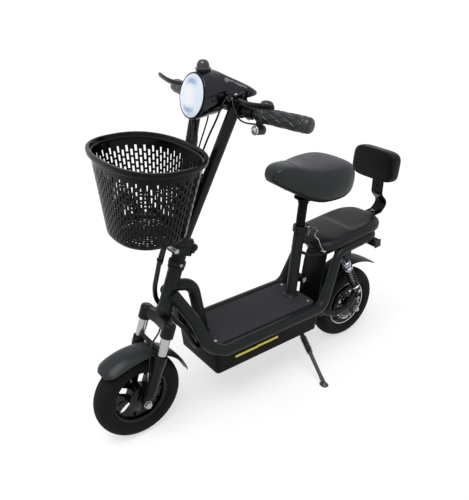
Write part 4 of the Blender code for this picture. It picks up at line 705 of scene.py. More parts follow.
def tyre_shape(axle):
    section = [(-0.0178, 0.0806)]
    for i in range(45):
        angle = math.radians(-128 + 256 * i / 44)
        fall = math.copysign(abs(math.cos(angle)) ** 0.80, math.cos(angle))
        section.append((TYRE_HALF * math.sin(angle), TYRE_MIDDLE + TYRE_HEIGHT * fall))
    section.append((0.0178, 0.0806))
    rows = []
    for k, turn in enumerate(around(TREAD_BLOCKS * BLOCK_STEPS)):
        row = []
        for x, radius in section:
            size = radius - tread_cut(x, radius, k / BLOCK_STEPS)
            row.append(axle + Vector((x, size * math.cos(turn), size * math.sin(turn))))
        rows.append(row)
    return rejoined(rows)


FRONT_AXLE = at(0, 0, AXLE_HEIGHT)
REAR_AXLE = at(0, 0.807, AXLE_HEIGHT)
for place, axle in (("front", FRONT_AXLE), ("rear", REAR_AXLE)):
    piece(
        f"{place}_tyre_skin", tyre_shape(axle), tyre_rubber, f"{place}_wheel", "tyre_rubber",
        f"{place}_tyre", sharp=30,
    )

# Black semi-gloss enamel over cast alloy: smoother than the frame, with a crisp highlight
wheel_enamel = coated("black_wheel_enamel", "#050506", "#090A0A", 0.16, 4.0, 0.05, shine=0.24)
# Turned aluminium: the bright bands left where the wheel's face was skimmed after painting
bright_alloy = coated(
    "turned_bright_alloy", "#C6C8CB", "#B6B9BD", 0.24, 0.8, 0.03, metallic=1.0, patch_mm=8
)


def mirrored(half):
    """Profile pairs on the axle's other side."""
    return [(radius, -x) for radius, x in reversed(half)]


rim_half = [
    (0.0803, -0.0180), (0.0826, -0.0198), (0.0830, -0.0222), (0.0820, -0.0234), (0.0800, -0.0228),
    (0.0775, -0.0200), (0.0745, -0.0175), (0.0722, -0.0110),
]
rim_profile = [*rim_half, (0.0715, 0.0), *mirrored(rim_half), (0.0770, 0.0120), (0.0770, -0.0120)]
hub_profile = [
    (0.0064, -0.0335), (0.0150, -0.0335), (0.0168, -0.0320), (0.0175, -0.0150), (0.0230, -0.0080),
    (0.0335, -0.0070), (0.0345, 0.0070), (0.0345, 0.0225), (0.0335, 0.0235), (0.0064, 0.0235),
]
wheel_parts = [
    lathe(rim_profile, FRONT_AXLE, ACROSS, 96, ring=True),
    lathe(hub_profile, FRONT_AXLE, ACROSS, 64, ring=True),
]
for number in range(5):
    middle = math.radians(110 + 72 * number)
    for lean in (-1, 1):
        rows = []
        for radius, centre, half, depth in (
            (0.0325, 0.150, 0.150, 0.0085),
            (0.0420, 0.190, 0.160, 0.0078),
            (0.0540, 0.235, 0.175, 0.0068),
            (0.0650, 0.265, 0.200, 0.0066),
            (0.0730, 0.290, 0.260, 0.0078),
        ):
            near, far = middle + lean * (centre - half), middle + lean * (centre + half)
            rows.append([
                FRONT_AXLE + Vector((x, radius * math.cos(a), radius * math.sin(a)))
                for a, x in ((near, -depth), (far, -depth), (far, depth), (near, depth))
            ])
        wheel_parts.append(banded(rows))
wheel = merged(*wheel_parts)
piece(
    "front_wheel_casting", wheel, wheel_enamel, "front_wheel", "wheel_alloy", "front_rim", bevel=0.0009
)

AXLE_RADIUS = 0.0058


def pin(middle, half, radius, soft=0.0008):
    """A short round bar that reaches equally far to both sides of its middle."""
    return cylinder(middle - half, middle + half, radius, soft)


def axle_with_nuts(middle, face, tip, flats, half):
    """An axle with a washer and a hexagonal nut against the outer face of each dropout."""
    nut = [
        (flats - 0.0010, face + 0.0012), (flats, face + 0.0022), (flats, face + 0.0078),
        (flats - 0.0012, face + 0.0088),
    ]
    washer = [
        (0.0110, face), (0.0115, face + 0.0004), (0.0115, face + 0.0010), (0.0110, face + 0.0014),
    ]
    parts = []
    for side in SIDES:
        outward = ACROSS * side
        parts += [
            lathe(nut, middle, outward, 6), lathe(washer, middle, outward, 32),
            cylinder(middle + outward * (face - 0.02), middle + outward * tip, AXLE_RADIUS),
        ]
    return merged(*parts, pin(middle, ACROSS * half, AXLE_RADIUS))


front_axle = axle_with_nuts(FRONT_AXLE, 0.0588, 0.0700, 0.0100, 0.05)
piece("front_axle_and_nuts", front_axle, zinc, "fork", "zinc_plate", "front_axle")

plate_profile = [
    (0.0063, 0.0265), (0.0375, 0.0265), (0.0390, 0.0275), (0.0390, 0.0295), (0.0375, 0.0304),
    (0.0310, 0.0312), (0.0290, 0.0328), (0.0130, 0.0334), (0.0112, 0.0350), (0.0110, 0.0512),
    (0.0063, 0.0512),
]
cam_boss = cylinder(at(0.030, -0.008, 0.1515), at(0.0344, -0.008, 0.1515), 0.0065)
brake_parts = [lathe(plate_profile, FRONT_AXLE, ACROSS, ring=True), cam_boss]
for angle in range(15, 360, 60):
    turn = math.radians(angle)
    spot = Vector((0.0302, 0.0345 * math.cos(turn), 0.0345 * math.sin(turn)))
    brake_parts.append(screw_head(FRONT_AXLE + spot, ACROSS, 0.0026, 0.0012))
piece("brake_back_plate", merged(*brake_parts), wheel_enamel, "fork", "frame_paint", "brake_plate")
recoat(fork_black, "brake_arm")


# Mudguards: moulded polypropylene shells, 2.5 mm thick. The front one is wide and folds down over
# the tyre's shoulders, and narrows to a tail behind; the rear one is a short strap of the same.

# Polypropylene with a fine spark texture: satin, a little lighter than the frame
guard_plastic = coated("textured_polypropylene", "#26292B", "#2D3133", 0.36, 2.2, 0.06, shine=0.18)
# The same plastic behind, drawn darker: painted shade, as it lies out of the light under the pad
rear_plastic_painted_shade = coated("polypropylene_painted_shade", "#0A0B0B", "#0E0F10", 0.42, 2.2, 0.06, shine=0.10)
GUARD_THICKNESS = 0.0025
# Where its edges fall further than this the shell is folded down, and its walls keep their thickness
FOLDED = 0.0061


def smooth(points, steps, closed=False, held=False):
    """Catmull-Rom points through rows of numbers. The curve slows to its ends where it is held."""
    points = [Vector(point) for point in points]
    if closed:
        ends = [points[-1], *points, points[0], points[1]]
    elif held:
        ends = [points[0], *points, points[-1]]
    else:
        ends = [2 * points[0] - points[1], *points, 2 * points[-1] - points[-2]]
    route = []
    for a, b, c, d in zip(ends, ends[1:], ends[2:], ends[3:]):
        for step in range(steps):
            t = step / steps
            bend, twist = 2 * a - 5 * b + 4 * c - d, 3 * b - a - 3 * c + d
            route.append(0.5 * (2 * b + (c - a) * t + bend * t**2 + twist * t**3))
    if not closed:
        route.append(points[-1])
    return route


def guard_shape(axle, stations, columns=18):
    """A shell round an axle from (angle, radius, half-width, fall of the edges) stations."""
    rows = []
    for angle, radius, half_width, drop in smooth(stations, 4, held=True):
        turn = math.radians(angle)
        inner, inner_half = radius - GUARD_THICKNESS, half_width - GUARD_THICKNESS
        row = []
        for reach, width, order in (
            (radius, half_width, range(columns + 1)),
            (inner, inner_half if drop > FOLDED else half_width, range(columns, -1, -1)),
        ):
            for i in order:
                share = 2 * i / columns - 1
                size = reach - drop * abs(share) ** 2.857
                spot = Vector((share * width, size * math.cos(turn), size * math.sin(turn)))
                row.append(axle + spot)
        rows.append(row)
    return banded(rows)


def slab(centre, size, turn=None):
    """A plain block; the bevel that softens it is given to piece()."""
    corners = [(x, y, z) for z in (-1, 1) for x, y in ((-1, -1), (1, -1), (1, 1), (-1, 1))]
    points = []
    for corner in corners:
        offset = Vector([sign * whole / 2 for sign, whole in zip(corner, size)])
        points.append(centre + (turn @ offset if turn else offset))
    faces = [(0, 3, 2, 1), (4, 5, 6, 7), (0, 1, 5, 4), (1, 2, 6, 5), (2, 3, 7, 6), (3, 0, 4, 7)]
    return points, faces


front_guard = guard_shape(FRONT_AXLE, [
    (132, 0.1520, 0.022, 0.006), (128, 0.1535, 0.036, 0.011), (122, 0.1538, 0.0425, 0.016),
    (108, 0.1520, 0.0435, 0.019), (92, 0.1494, 0.0420, 0.017), (74, 0.1487, 0.0395, 0.012),
    (50, 0.1495, 0.0395, 0.008), (32, 0.1515, 0.0385, 0.006), (16, 0.1555, 0.0310, 0.004),
    (4, 0.1620, 0.0100, 0.001),
])
piece("front_guard", front_guard, guard_plastic, "fork", "guard_plastic", "front_fender")
rear_guard = guard_shape(REAR_AXLE, [
    (42, 0.1765, 0.0180, 0.001), (48, 0.1730, 0.0320, 0.002), (58, 0.1695, 0.038, 0.003),
    (74, 0.1675, 0.038, 0.004), (92, 0.1660, 0.038, 0.004), (110, 0.1650, 0.038, 0.004),
    (126, 0.1650, 0.038, 0.004), (138, 0.1660, 0.038, 0.004),
])
stay_low, stay_high = at(0, 0.780, 0.2875), at(0, 0.780, 0.3996)
stay = slab((stay_low + stay_high) / 2, (0.040, 0.018, (stay_high - stay_low).z))
piece("rear_guard", merged(rear_guard, stay), rear_plastic_painted_shade, "frame", "guard_plastic", "rear_fender")
# A mud panel hangs from the rack in front of the tyre, dished to follow it
panel_rows = []
for y, z, half in (
    (0.668, 0.3700, 0.040), (0.660, 0.3500, 0.044), (0.652, 0.3200, 0.045), (0.646, 0.2800, 0.045),
    (0.641, 0.2400, 0.045), (0.638, 0.2050, 0.044), (0.638, 0.1800, 0.040), (0.640, 0.1660, 0.032),
):
    front = [at(half * i / 6, y + 0.004 * (i / 6) ** 2, z) for i in range(-6, 7)]
    panel_rows.append(front + [p + BACKWARD * GUARD_THICKNESS for p in reversed(front)])
piece("rear_mud_panel", banded(panel_rows), rear_plastic_painted_shade, "frame", "guard_plastic")


# Seat tube, clamp, post and saddle. The tube is welded to a flange on the deck and held by a thin
# loop of tube on each side; a bolted collar grips the post, and the saddle sits on a clamp on it.

SEAT_LEAN = math.radians(5.9)
SEAT_AXIS = Vector((0, math.sin(SEAT_LEAN), math.cos(SEAT_LEAN)))


def seat_line(distance, x=0.0):
    """A point this far up the seat tube from its flange."""
    return at(x, 0.5620, PLATE_TOP + 0.0055) + SEAT_AXIS * distance


seat_tube_profile = [
    (0.0245, -0.0014), (0.0258, -0.0004), (0.0260, 0.0030), (0.0252, 0.0042), (0.0215, 0.0062),
    (0.0192, 0.0092), (0.0178, 0.0118), (0.0170, 0.0150), (0.0170, 0.2392), (0.0164, 0.2400),
    (0.0148, 0.2400), (0.0148, 0.2300),
]
loops = []
for side in SIDES:
    corners = [
        seat_line(0.160, side * 0.0150), at(side * 0.038, 0.596, 0.3860),
        at(side * 0.0595, 0.648, 0.3875), at(side * 0.0595, 0.678, 0.3890),
    ]
    loops.append(sweep(arcs(corners, [0.020, 0.020]), 0.0050, 16))
piece(
    "seat_tube_shell", merged(lathe(seat_tube_profile, seat_line(0), SEAT_AXIS), *loops),
    powder_coat, "frame", "frame_paint", "seat_tube",
)
post_profile = [(0.0136, 0.0850), (0.0143, 0.0857), (0.0143, 0.3443), (0.0136, 0.3450)]
# Semi-gloss stove enamel on the small steel parts: darker and shinier than the frame's powder
enamel = coated("semi_gloss_enamel", "#0B0C0D", "#101112", 0.26, 3.0, 0.02, shine=0.20)
# The post's paint is the enamel drawn darker and flatter: painted shade under the saddle
post_paint_painted_shade = coated("post_enamel_painted_shade", "#070708", "#0B0B0C", 0.34, 3.0, 0.02, shine=0.08)
post = lathe(post_profile, seat_line(0), SEAT_AXIS)
piece("saddle_post", post, post_paint_painted_shade, "seat", "black_hardware", "seat_post")

collar_base = seat_line(0.2218)
collar_profile = [
    (0.0173, 0), (0.0210, 0), (0.0218, 0.0010), (0.0218, 0.0190), (0.0210, 0.0200), (0.0156, 0.0200),
    (0.0156, 0.0186), (0.0173, 0.0186),
]
LEANED = Matrix.Rotation(-SEAT_LEAN, 3, "X")
ear_middle = collar_base + SEAT_AXIS * 0.010 + BACKWARD * 0.0262
collar = [lathe(collar_profile, collar_base, SEAT_AXIS, ring=True)]
collar += [
    slab(ear_middle + Vector((x, 0, 0)), (0.0054, 0.0165, 0.0160), LEANED) for x in (-0.0041, 0.0041)
]
piece("seat_collar", merged(*collar), enamel, "frame", "black_hardware", "seat_clamp", bevel=0.0008)

# A round housing with a plated face on the back of the tube. Its use can't be seen from the front.
lock_middle = at(-0.0060, 0.6090, 0.2830)
lock_profile = [
    (0.0110, -0.0180), (0.0128, -0.0165), (0.0130, 0.0), (0.0130, 0.0150), (0.0118, 0.0170),
    (0.0080, 0.0172),
]
lock = merged(
    lathe(lock_profile, lock_middle, ACROSS, 40),
    slab(lock_middle - BACKWARD * 0.0170, (0.0140, 0.0180, 0.0120)),
)
piece("lock_housing", lock, enamel, "frame", "black_hardware", bevel=0.0006)
face_profile = [
    (0.0092, 0.0168), (0.0094, 0.0186), (0.0084, 0.0194), (0.0030, 0.0196), (0.0028, 0.0182),
]
piece("lock_face", lathe(face_profile, lock_middle, ACROSS, 36), zinc, "frame", "zinc_plate")

collar_nut = [(0.0048, 0), (0.0052, 0.0008), (0.0052, 0.0040), (0.0046, 0.0046)]
bolt_middle = ear_middle + Vector((0, 0.001, 0))
bolt = merged(
    cylinder(bolt_middle - ACROSS * 0.0105, bolt_middle + ACROSS * 0.0125, 0.0030),
    screw_head(bolt_middle - ACROSS * 0.0066, -ACROSS, 0.0048, 0.0040),
    lathe(collar_nut, bolt_middle + ACROSS * 0.0068, ACROSS, 6),
)
piece("seat_collar_bolt", bolt, zinc, "frame", "zinc_plate")


# Leatherette: polyurethane on cloth, embossed with a calf grain. The grain's cells are 1 mm in
# life and are drawn at 1.8 mm; it shines softly and greys where it is stretched.
def leatherette(name, shade, patch, roughness, depth_mm=0.10, shine=0.14):
    material = coated(name, shade, patch, roughness, 1.8, depth_mm, shine=shine, patch_mm=45)
    tree = material.node_tree
    shader = tree.nodes["Principled BSDF"]
    where = add_node(tree, "ShaderNodeTexCoord")
    cells = add_node(
        tree, "ShaderNodeTexVoronoi", {"feature": "DISTANCE_TO_EDGE"},
        Vector=where.outputs["Object"], Scale=1000 / 1.8,
    )
    valleys = add_node(tree, "ShaderNodeMapRange", Value=cells.outputs[0], From_Max=0.12)
    creases = add_node(
        tree, "ShaderNodeTexNoise",
        Vector=where.outputs["Object"], Scale=1000 / 26, Detail=5.0, Distortion=1.2,
    )
    creased = add_node(
        tree, "ShaderNodeBump", Height=creases.outputs[0], Distance=0.0022, Strength=0.30,
        Normal=shader.inputs["Normal"].links[0].from_socket,
    )
    grained = add_node(
        tree, "ShaderNodeBump", Height=valleys.outputs[0], Distance=depth_mm / 1000, Strength=0.5,
        Normal=creased.outputs[0],
    )
    tree.links.new(grained.outputs[0], shader.inputs["Normal"])
    return material


saddle_cover = leatherette("saddle_top_leatherette", "#2F3036", "#393A41", 0.44, shine=0.18)
skirt_cover = leatherette("saddle_skirt_leatherette", "#25292A", "#2E3334", 0.34, 0.05, shine=0.24)
# Distance back, half-width, and the heights of the underside and the top
saddle_stations = smooth((
    (0.4550, 0.0150, 0.6540, 0.6620), (0.4590, 0.0220, 0.6490, 0.6720),
    (0.4680, 0.0290, 0.6420, 0.6820), (0.4850, 0.0350, 0.6300, 0.6890),
    (0.5100, 0.0410, 0.6150, 0.6895), (0.5350, 0.0490, 0.5995, 0.6855),
    (0.5600, 0.0640, 0.5835, 0.6800), (0.5900, 0.0800, 0.5690, 0.6775),
    (0.6250, 0.0915, 0.5600, 0.6775), (0.6600, 0.0955, 0.5580, 0.6775),
    (0.6930, 0.0930, 0.5595, 0.6755), (0.7190, 0.0815, 0.5665, 0.6690),
    (0.7350, 0.0630, 0.5760, 0.6590), (0.7430, 0.0400, 0.5900, 0.6450),
), 5)
half_section = [
    (0.28, 0.00), (0.67, 0.03), (0.89, 0.17), (0.98, 0.38), (1.00, 0.58), (0.965, 0.77),
    (0.88, 0.900), (0.70, 0.960), (0.45, 0.988), (0.18, 1.00),
]
saddle_section = smooth(half_section + [(-x, z) for x, z in reversed(half_section)], 6, closed=True)


def saddle_ring(y, half_width, low, high):
    return [at(half_width * s.x, y, low + (high - low) * s.y) for s in saddle_section]


def shrunk(ring, share, back):
    """A ring drawn in towards its middle, to close an end of the saddle."""
    middle = sum(ring, Vector()) / len(ring)
    return [middle + (p - middle) * share + BACKWARD * back for p in ring]


saddle_rows = [saddle_ring(*station) for station in saddle_stations]
nose, tail = saddle_rows[0], saddle_rows[-1]
saddle_rows = [
    *[shrunk(nose, share, back) for share, back in ((0.25, -0.0012), (0.6, -0.0010), (0.86, -0.0005))],
    *saddle_rows,
    *[shrunk(tail, share, back) for share, back in ((0.86, 0.0010), (0.6, 0.0018), (0.25, 0.0022))],
]
saddle = piece(
    "saddle_cushion", banded(saddle_rows), saddle_cover, "seat", "saddle_cover", "saddle", sharp=80
)
# The top panel is sewn to a smoother, darker skirt, with a piping over the seam
PANEL_FRONT, PANEL_REAR = 0.528, 0.733
saddle.data.materials.append(skirt_cover)
heights = {
    round(ring[0].y, 5): (min(p.z for p in ring), max(p.z for p in ring)) for ring in saddle_rows
}
for face in saddle.data.polygons:
    low, high = heights[min(heights, key=lambda y: abs(y - face.center.y))]
    along_panel = at(0, PANEL_FRONT, 0).y < face.center.y < at(0, PANEL_REAR, 0).y
    on_top = along_panel and face.center.z > low + (high - low) * 0.895
    face.material_index = 0 if on_top else 1
panel_edge = [station for station in saddle_stations if PANEL_FRONT < station[0] < PANEL_REAR]


def crossing(y, half_width, low, high):
    """The seam's run over the saddle, from its left edge to its right."""
    ring = saddle_ring(y, half_width, low, high)
    return sorted((p for p in ring if p.z > low + (high - low) * 0.905), key=lambda p: -p.x)


left_seam = [at(half * 0.885, y, low + (high - low) * 0.898) for y, half, low, high in panel_edge]
right_seam = [Vector((-p.x, p.y, p.z)) for p in reversed(left_seam)]
seam_line = [
    *left_seam, *crossing(*panel_edge[-1]), *right_seam, *reversed(crossing(*panel_edge[0])),
]
piece(
    "saddle_piping", sweep([*seam_line, seam_line[0]], 0.0010, 8), skirt_cover, "seat", "saddle_cover"
)
# The saddle clamp on the post, and the moulded base's edge under the cover
clamp_profile = [
    (0.0146, 0.3120), (0.0158, 0.3120), (0.0164, 0.3128), (0.0164, 0.3230), (0.0290, 0.3270),
    (0.0300, 0.3310), (0.0146, 0.3330),
]
clamp = lathe(clamp_profile, seat_line(0), SEAT_AXIS, ring=True)
# The clamp takes the post's darker paint, which is painted shade under the saddle
piece("saddle_clamp", clamp, post_paint_painted_shade, "seat", "black_hardware")
base_line = [
    at(half_width * 0.60, y, low + (high - low) * 0.022)
    for y, half_width, low, high in saddle_stations[4:-3]
]
edge = base_line + [Vector((-p.x, p.y, p.z)) for p in reversed(base_line)]
piece(
    "saddle_base_edge", sweep([*edge, edge[0]], 0.0022, 10), guard_plastic, "seat", "guard_plastic"
)


# Passenger seat: a plate and a square tube across the rack, a crowned pad bolted over the rails,
# and a backrest on a bent strip of gloss black steel that two bolts hold to the rack.

RACK_SLOPE = math.atan2(0.021, 0.243)


def on_rack(y, lift=0.0, x=0.0):
    """A point over the rack plate, which rises a little towards the back."""
    return at(x, y, 0.3916 + (y - 0.654) * math.tan(RACK_SLOPE) + lift)


recoat(powder_coat, "rack_bed")
sloped = Matrix.Rotation(RACK_SLOPE, 3, "X")
caps = [
    slab(on_rack(0.842, -0.0296, side * 0.0990), (0.0040, 0.0262, 0.0262), sloped) for side in SIDES
]
piece("rack_tube_caps", merged(*caps), guard_plastic, "frame", "guard_plastic", bevel=0.0012)
rail_bolts = [
    screw_head(on_rack(y, -0.0045, side * (RACK_X + 0.0135)), ACROSS * side, 0.0040, 0.0022)
    for side in SIDES for y in (0.768, 0.800)
]
piece("rack_rail_bolts", merged(*rail_bolts), enamel, "frame", "black_hardware")

pad_cover = leatherette("pad_leatherette", "#131115", "#1D1A20", 0.36, shine=0.20)
PAD_FRONT, PAD_REAR = 0.6180, 0.8880
PAD_SEAM = 0.7480
pad_middle, pad_half = (PAD_FRONT + PAD_REAR) / 2, (PAD_REAR - PAD_FRONT) / 2
# Height over the plate, half-width, how much shorter than the pad, and the outline's power
pad_rings = smooth((
    (0.0020, 0.0600, 0.016, 4.5), (0.0080, 0.0640, 0.0120, 4.3), (0.0112, 0.0700, 0.006, 4.2),
    (0.0120, 0.0860, 0.002, 4.2), (0.0155, 0.0892, 0.001, 4.0), (0.0265, 0.0892, 0.0005, 4.0),
    (0.0355, 0.0830, 0.003, 3.6), (0.0412, 0.0700, 0.012, 3.4), (0.0440, 0.0460, 0.036, 3.0),
), 4)


def pad_height(x, y, lift):
    """Adds the rear panel's dish, the seam across and the front panel's fall to a height."""
    inside = max(0.0, min(1.0, (lift - 0.025) / 0.016))
    behind = (y - PAD_SEAM) / (PAD_REAR - 0.012 - PAD_SEAM)
    dish = 0.0
    if 0 < behind < 1:
        step = 1 - math.exp(-(y - PAD_SEAM) / 0.006)
        dish = 0.0085 * step * (1 - behind) ** 0.8 * max(0.0, 1 - (x / 0.072) ** 4)
    seam = 0.0026 * math.exp(-(((y - PAD_SEAM) / 0.0045) ** 2))
    front = 0.0045 * max(0.0, (0.660 - y) / 0.042) ** 1.5
    return lift - inside * (dish + seam + front)


def pad_ring(lift, half_width, trim, power, share=1.0):
    ring = []
    for p in superellipse(Vector(), ACROSS, BACKWARD, half_width, pad_half - trim, power, 120):
        x, y = p.x * share, pad_middle + p.y * share
        ring.append(on_rack(y, pad_height(x, y, lift), x))
    return ring


pad_rows = [pad_ring(*row) for row in pad_rings]
for i in range(1, 14):
    share = 1 - i / 13.4
    lift, power = 0.0440 + 0.0012 * (1 - share**2), 3.0 - 0.6 * (1 - share)
    pad_rows.append(pad_ring(lift, 0.0460, 0.036, power, share))
pad = piece(
    "passenger_pad", banded(pad_rows), pad_cover, "frame", "pad_cover", "rear_seat_pad", sharp=80
)
welt_outline = superellipse(Vector(), ACROSS, BACKWARD, 0.0874, pad_half - 0.0014, 3.8, 140)
welt = [on_rack(pad_middle + p.y, 0.0310, p.x) for p in welt_outline]
piece("pad_welt", sweep([*welt, welt[0], welt[1]], 0.0011, 8), pad_cover, "frame", "pad_cover")

# A thin plated spring wire with one curl, from the seat tube to the pad's near front corner
catch_route = smooth([at(*p) for p in (
    (0.0150, 0.6080, 0.4420), (0.0200, 0.6120, 0.4640), (0.0340, 0.6140, 0.4730),
    (0.0500, 0.6120, 0.4700), (0.0430, 0.6090, 0.4590), (0.0480, 0.6070, 0.4520),
    (0.0620, 0.6080, 0.4440), (0.0720, 0.6100, 0.4240), (0.0800, 0.6200, 0.4050),
)], 6)
piece("pad_catch_wire", sweep(catch_route, 0.0011, 10), zinc, "frame", "zinc_plate")

# Gloss black paint on the strip: smooth and dark, with sharp reflections
gloss_paint = coated("gloss_black_paint", "#030303", "#050506", 0.12, 6.0, 0.02, shine=0.12)
STRIP_HALF, STRIP_HALF_THICK = 0.0225, 0.0025
strip_corners = (
    (0.838, 0.4286), (0.938, 0.4372), (0.966, 0.4640), (0.931, 0.5000), (0.9315, 0.6400),
)
strip_route = arcs([at(0, y, z) for y, z in strip_corners], [0.020, 0.020, 0.020])
strip_rows = []
earlier, later = strip_route[:1] + strip_route, strip_route[1:] + strip_route[-1:]
for before, point, after in zip(earlier, strip_route, later):
    normal = (after - before).normalized().cross(ACROSS)
    strip_rows.append([
        point + ACROSS * x * STRIP_HALF + normal * n * STRIP_HALF_THICK
        for x, n in ((-1, -1), (1, -1), (1, 1), (-1, 1))
    ])
strip = banded(strip_rows)
piece("backrest_strip", strip, gloss_paint, "frame", "black_hardware", "backrest_post", bevel=0.0009)
strip_bolt = screw_head(on_rack(0.922, 0.0255), UPWARD, 0.0050, 0.0030)
piece("rack_strip_bolt", strip_bolt, zinc, "frame", "zinc_plate")
pad_bolts = [screw_head(at(0, 0.9287, z), -BACKWARD, 0.0046, 0.0026) for z in (0.5440, 0.5270)]
piece("backrest_pad_bolts", merged(*pad_bolts), gloss_paint, "frame", "black_hardware")

back_cover = leatherette("backrest_leatherette", "#08090A", "#0E0F10", 0.34, shine=0.12)
PAD_UP = Vector((0, 0.10, 0.995)).normalized()
PAD_AHEAD = PAD_UP.cross(ACROSS).normalized()
back_centre = at(0, 0.9090, 0.6095)


def back_ring(depth, trim, power, share=1.0):
    """The cushion's outline at a depth from its middle towards the back."""
    middle = back_centre - PAD_AHEAD * depth
    ring = superellipse(middle, ACROSS, PAD_UP, 0.0845 - trim, 0.0500 - trim, power, 96)
    return [middle + (p - middle) * share for p in ring]


back_profile = smooth((
    (0.0195, 0.018, 3.8), (0.0180, 0.0075, 4.2), (0.0125, 0.0010, 4.6), (-0.0070, 0.000, 4.8),
    (-0.0160, 0.003, 4.8), (-0.0190, 0.014, 4.4),
), 5)
back_rows = [
    *[back_ring(0.0202 - 0.0007 * share, 0.018, 3.8, share) for share in (0.1, 0.4, 0.7, 0.9)],
    *[back_ring(*row) for row in back_profile],
    *[back_ring(-0.0190 - 0.0004 * (1 - share), 0.014, 4.4, share) for share in (0.8, 0.5, 0.2)],
]
backrest = piece(
    "backrest_cushion", banded(back_rows), back_cover, "frame", "saddle_cover", "backrest_pad", sharp=80
)
pipings = []
for depth, trim, power in ((0.0150, 0.0036, 4.4), (-0.0142, 0.0022, 4.8)):
    ring = back_ring(depth, trim, power)
    pipings.append(sweep([*ring, ring[0], ring[1]], 0.0016, 10))
piece("backrest_piping", merged(*pipings), back_cover, "frame", "saddle_cover")


# Stem: the base clamps the steerer, the folding hinge joins it to a weldment of two tubes in a V,
# and a cam lever on the right draws the joint shut. Two bracket arms carry the basket.

RAKED = Matrix.Rotation(-RAKE, 3, "X")
HINGE_RADIUS = 0.0110
STEM_TUBE_RADIUS = 0.0145
STEM_FOOT, STEM_HEAD = 0.4560, 0.8130
SOFT_EDGE = 0.0012


def hinge_point(x=0.0):
    return on_steerer(0.4420, -0.0260, x)


STEM_FORWARD = 0.0130
base_profile = [
    (0.0160, 0.3855), (0.0228, 0.3855), (0.0236, 0.3863), (0.0236, 0.3982), (0.0228, 0.3992),
    (0.0198, 0.4006), (0.0190, 0.4020), (0.0190, 0.4220), (0.0160, 0.4220),
]
base = merged(
    lathe(base_profile, on_steerer(0), STEER_AXIS, ring=True),
    slab(on_steerer(0.4300, 0.0020), (0.0440, 0.0500, 0.0235), RAKED),
    slab(on_steerer(0.4340, -0.0235), (0.0440, 0.0150, 0.0150), RAKED),
    *[cylinder(hinge_point(side * 0.0104), hinge_point(side * 0.0230), HINGE_RADIUS) for side in SIDES],
)
piece(
    "stem_base_casting", base, powder_coat, "steering", "frame_paint", "stem_base", bevel=SOFT_EDGE
)
latch = on_steerer(0.4300, 0.0280)
latch_nut = [(0.0070, 0), (0.0074, 0.0006), (0.0074, 0.0030), (0.0066, 0.0036)]
base_metal = merged(
    cylinder(latch - ACROSS * 0.0252, latch + ACROSS * 0.0270, 0.0054),
    screw_head(on_steerer(0.3920, 0.0020, 0.0232), ACROSS, 0.0046, 0.0030),
    lathe(latch_nut, latch + ACROSS * 0.0220, ACROSS, 6),
)
piece("stem_base_pins", base_metal, zinc, "steering", "zinc_plate")
hinge_pin = pin(hinge_point(), ACROSS * 0.0262, 0.0052)
piece("stem_hinge_pin", hinge_pin, enamel, "steering", "black_hardware")

lever_pivot = on_steerer(0.4300, 0.0280, -0.0259)
lever_head = [(0.0075, 0), (0.0085, 0.0008), (0.0085, 0.0072), (0.0075, 0.0080), (0.0030, 0.0080)]
blade_rows = []
for drop, half_width, half_depth, out in (
    (0.004, 0.0040, 0.0024, 0.0046), (-0.006, 0.0066, 0.0026, 0.0050),
    (-0.030, 0.0060, 0.0024, 0.0050), (-0.050, 0.0068, 0.0024, 0.0052),
    (-0.058, 0.0060, 0.0022, 0.0054), (-0.0605, 0.0035, 0.0012, 0.0055),
):
    middle = lever_pivot - ACROSS * out + STEER_AXIS * drop
    blade_rows.append(superellipse(middle, STEER_FORWARD, ACROSS, half_width, half_depth, 3.0, 24))
fold_lever = merged(lathe(lever_head, lever_pivot, -ACROSS, 32), banded(blade_rows))
piece("fold_lever_blade", fold_lever, enamel, "latch", "black_hardware", "fold_lever")

BRACKET_HEIGHT = 0.6150
stem_parts = [
    slab(on_steerer(0.4540, 0.0050), (0.0440, 0.0440, 0.0230), RAKED),
    slab(on_steerer(0.4500, -0.0200), (0.0195, 0.0200, 0.0140), RAKED),
    pin(hinge_point(), ACROSS * 0.0100, HINGE_RADIUS),
    slab(on_steerer(BRACKET_HEIGHT, STEM_FORWARD + 0.006), (0.0900, 0.0040, 0.0500), RAKED),
]


def stem_line(side, height):
    """The centre of one of the two tubes, which spread towards the bar."""
    share = (height - STEM_FOOT) / (STEM_HEAD - STEM_FOOT)
    return on_steerer(height, STEM_FORWARD, side * (0.0185 + 0.0585 * share))


def basket_size(z):
    """Half-width, half-depth and centre y of the basket's outside at a height."""
    share = (z - 0.600) / 0.208
    return 0.104 + 0.066 * share, 0.087 + 0.024 * share, 0.065 + 0.013 * share


def basket_back(z):
    _, half_depth, centre = basket_size(z)
    return centre + half_depth


BAR_MIDDLE = at(0, 0.293, 0.886)
CLAMP_X = 0.077
tube_heights = (STEM_FOOT, 0.5, 0.6, 0.7, STEM_HEAD)
for side in SIDES:
    clamp_middle = BAR_MIDDLE + ACROSS * (side * CLAMP_X)
    arm_start = on_steerer(BRACKET_HEIGHT, STEM_FORWARD + 0.006, side * 0.025)
    bracket_z = arm_start.z
    arm_end = at(side * 0.025, basket_back(bracket_z) + 0.003, bracket_z)
    stem_parts += [
        sweep([stem_line(side, height) for height in tube_heights], STEM_TUBE_RADIUS),
        pin(clamp_middle, ACROSS * 0.0140, 0.0185, 0.0012),
        cylinder(arm_start, arm_end, 0.0060),
    ]
basket_lean = Matrix.Rotation(-math.atan(0.037 / 0.208), 3, "X")
bracket_plate = at(0, basket_back(bracket_z) + 0.0028, bracket_z)
stem_parts.append(slab(bracket_plate, (0.0700, 0.0040, 0.0360), basket_lean))
weldment = merged(*stem_parts)
piece("stem_weldment", weldment, enamel, "upper_stem", "frame_paint", "stem", bevel=SOFT_EDGE)
stem_bolts = []
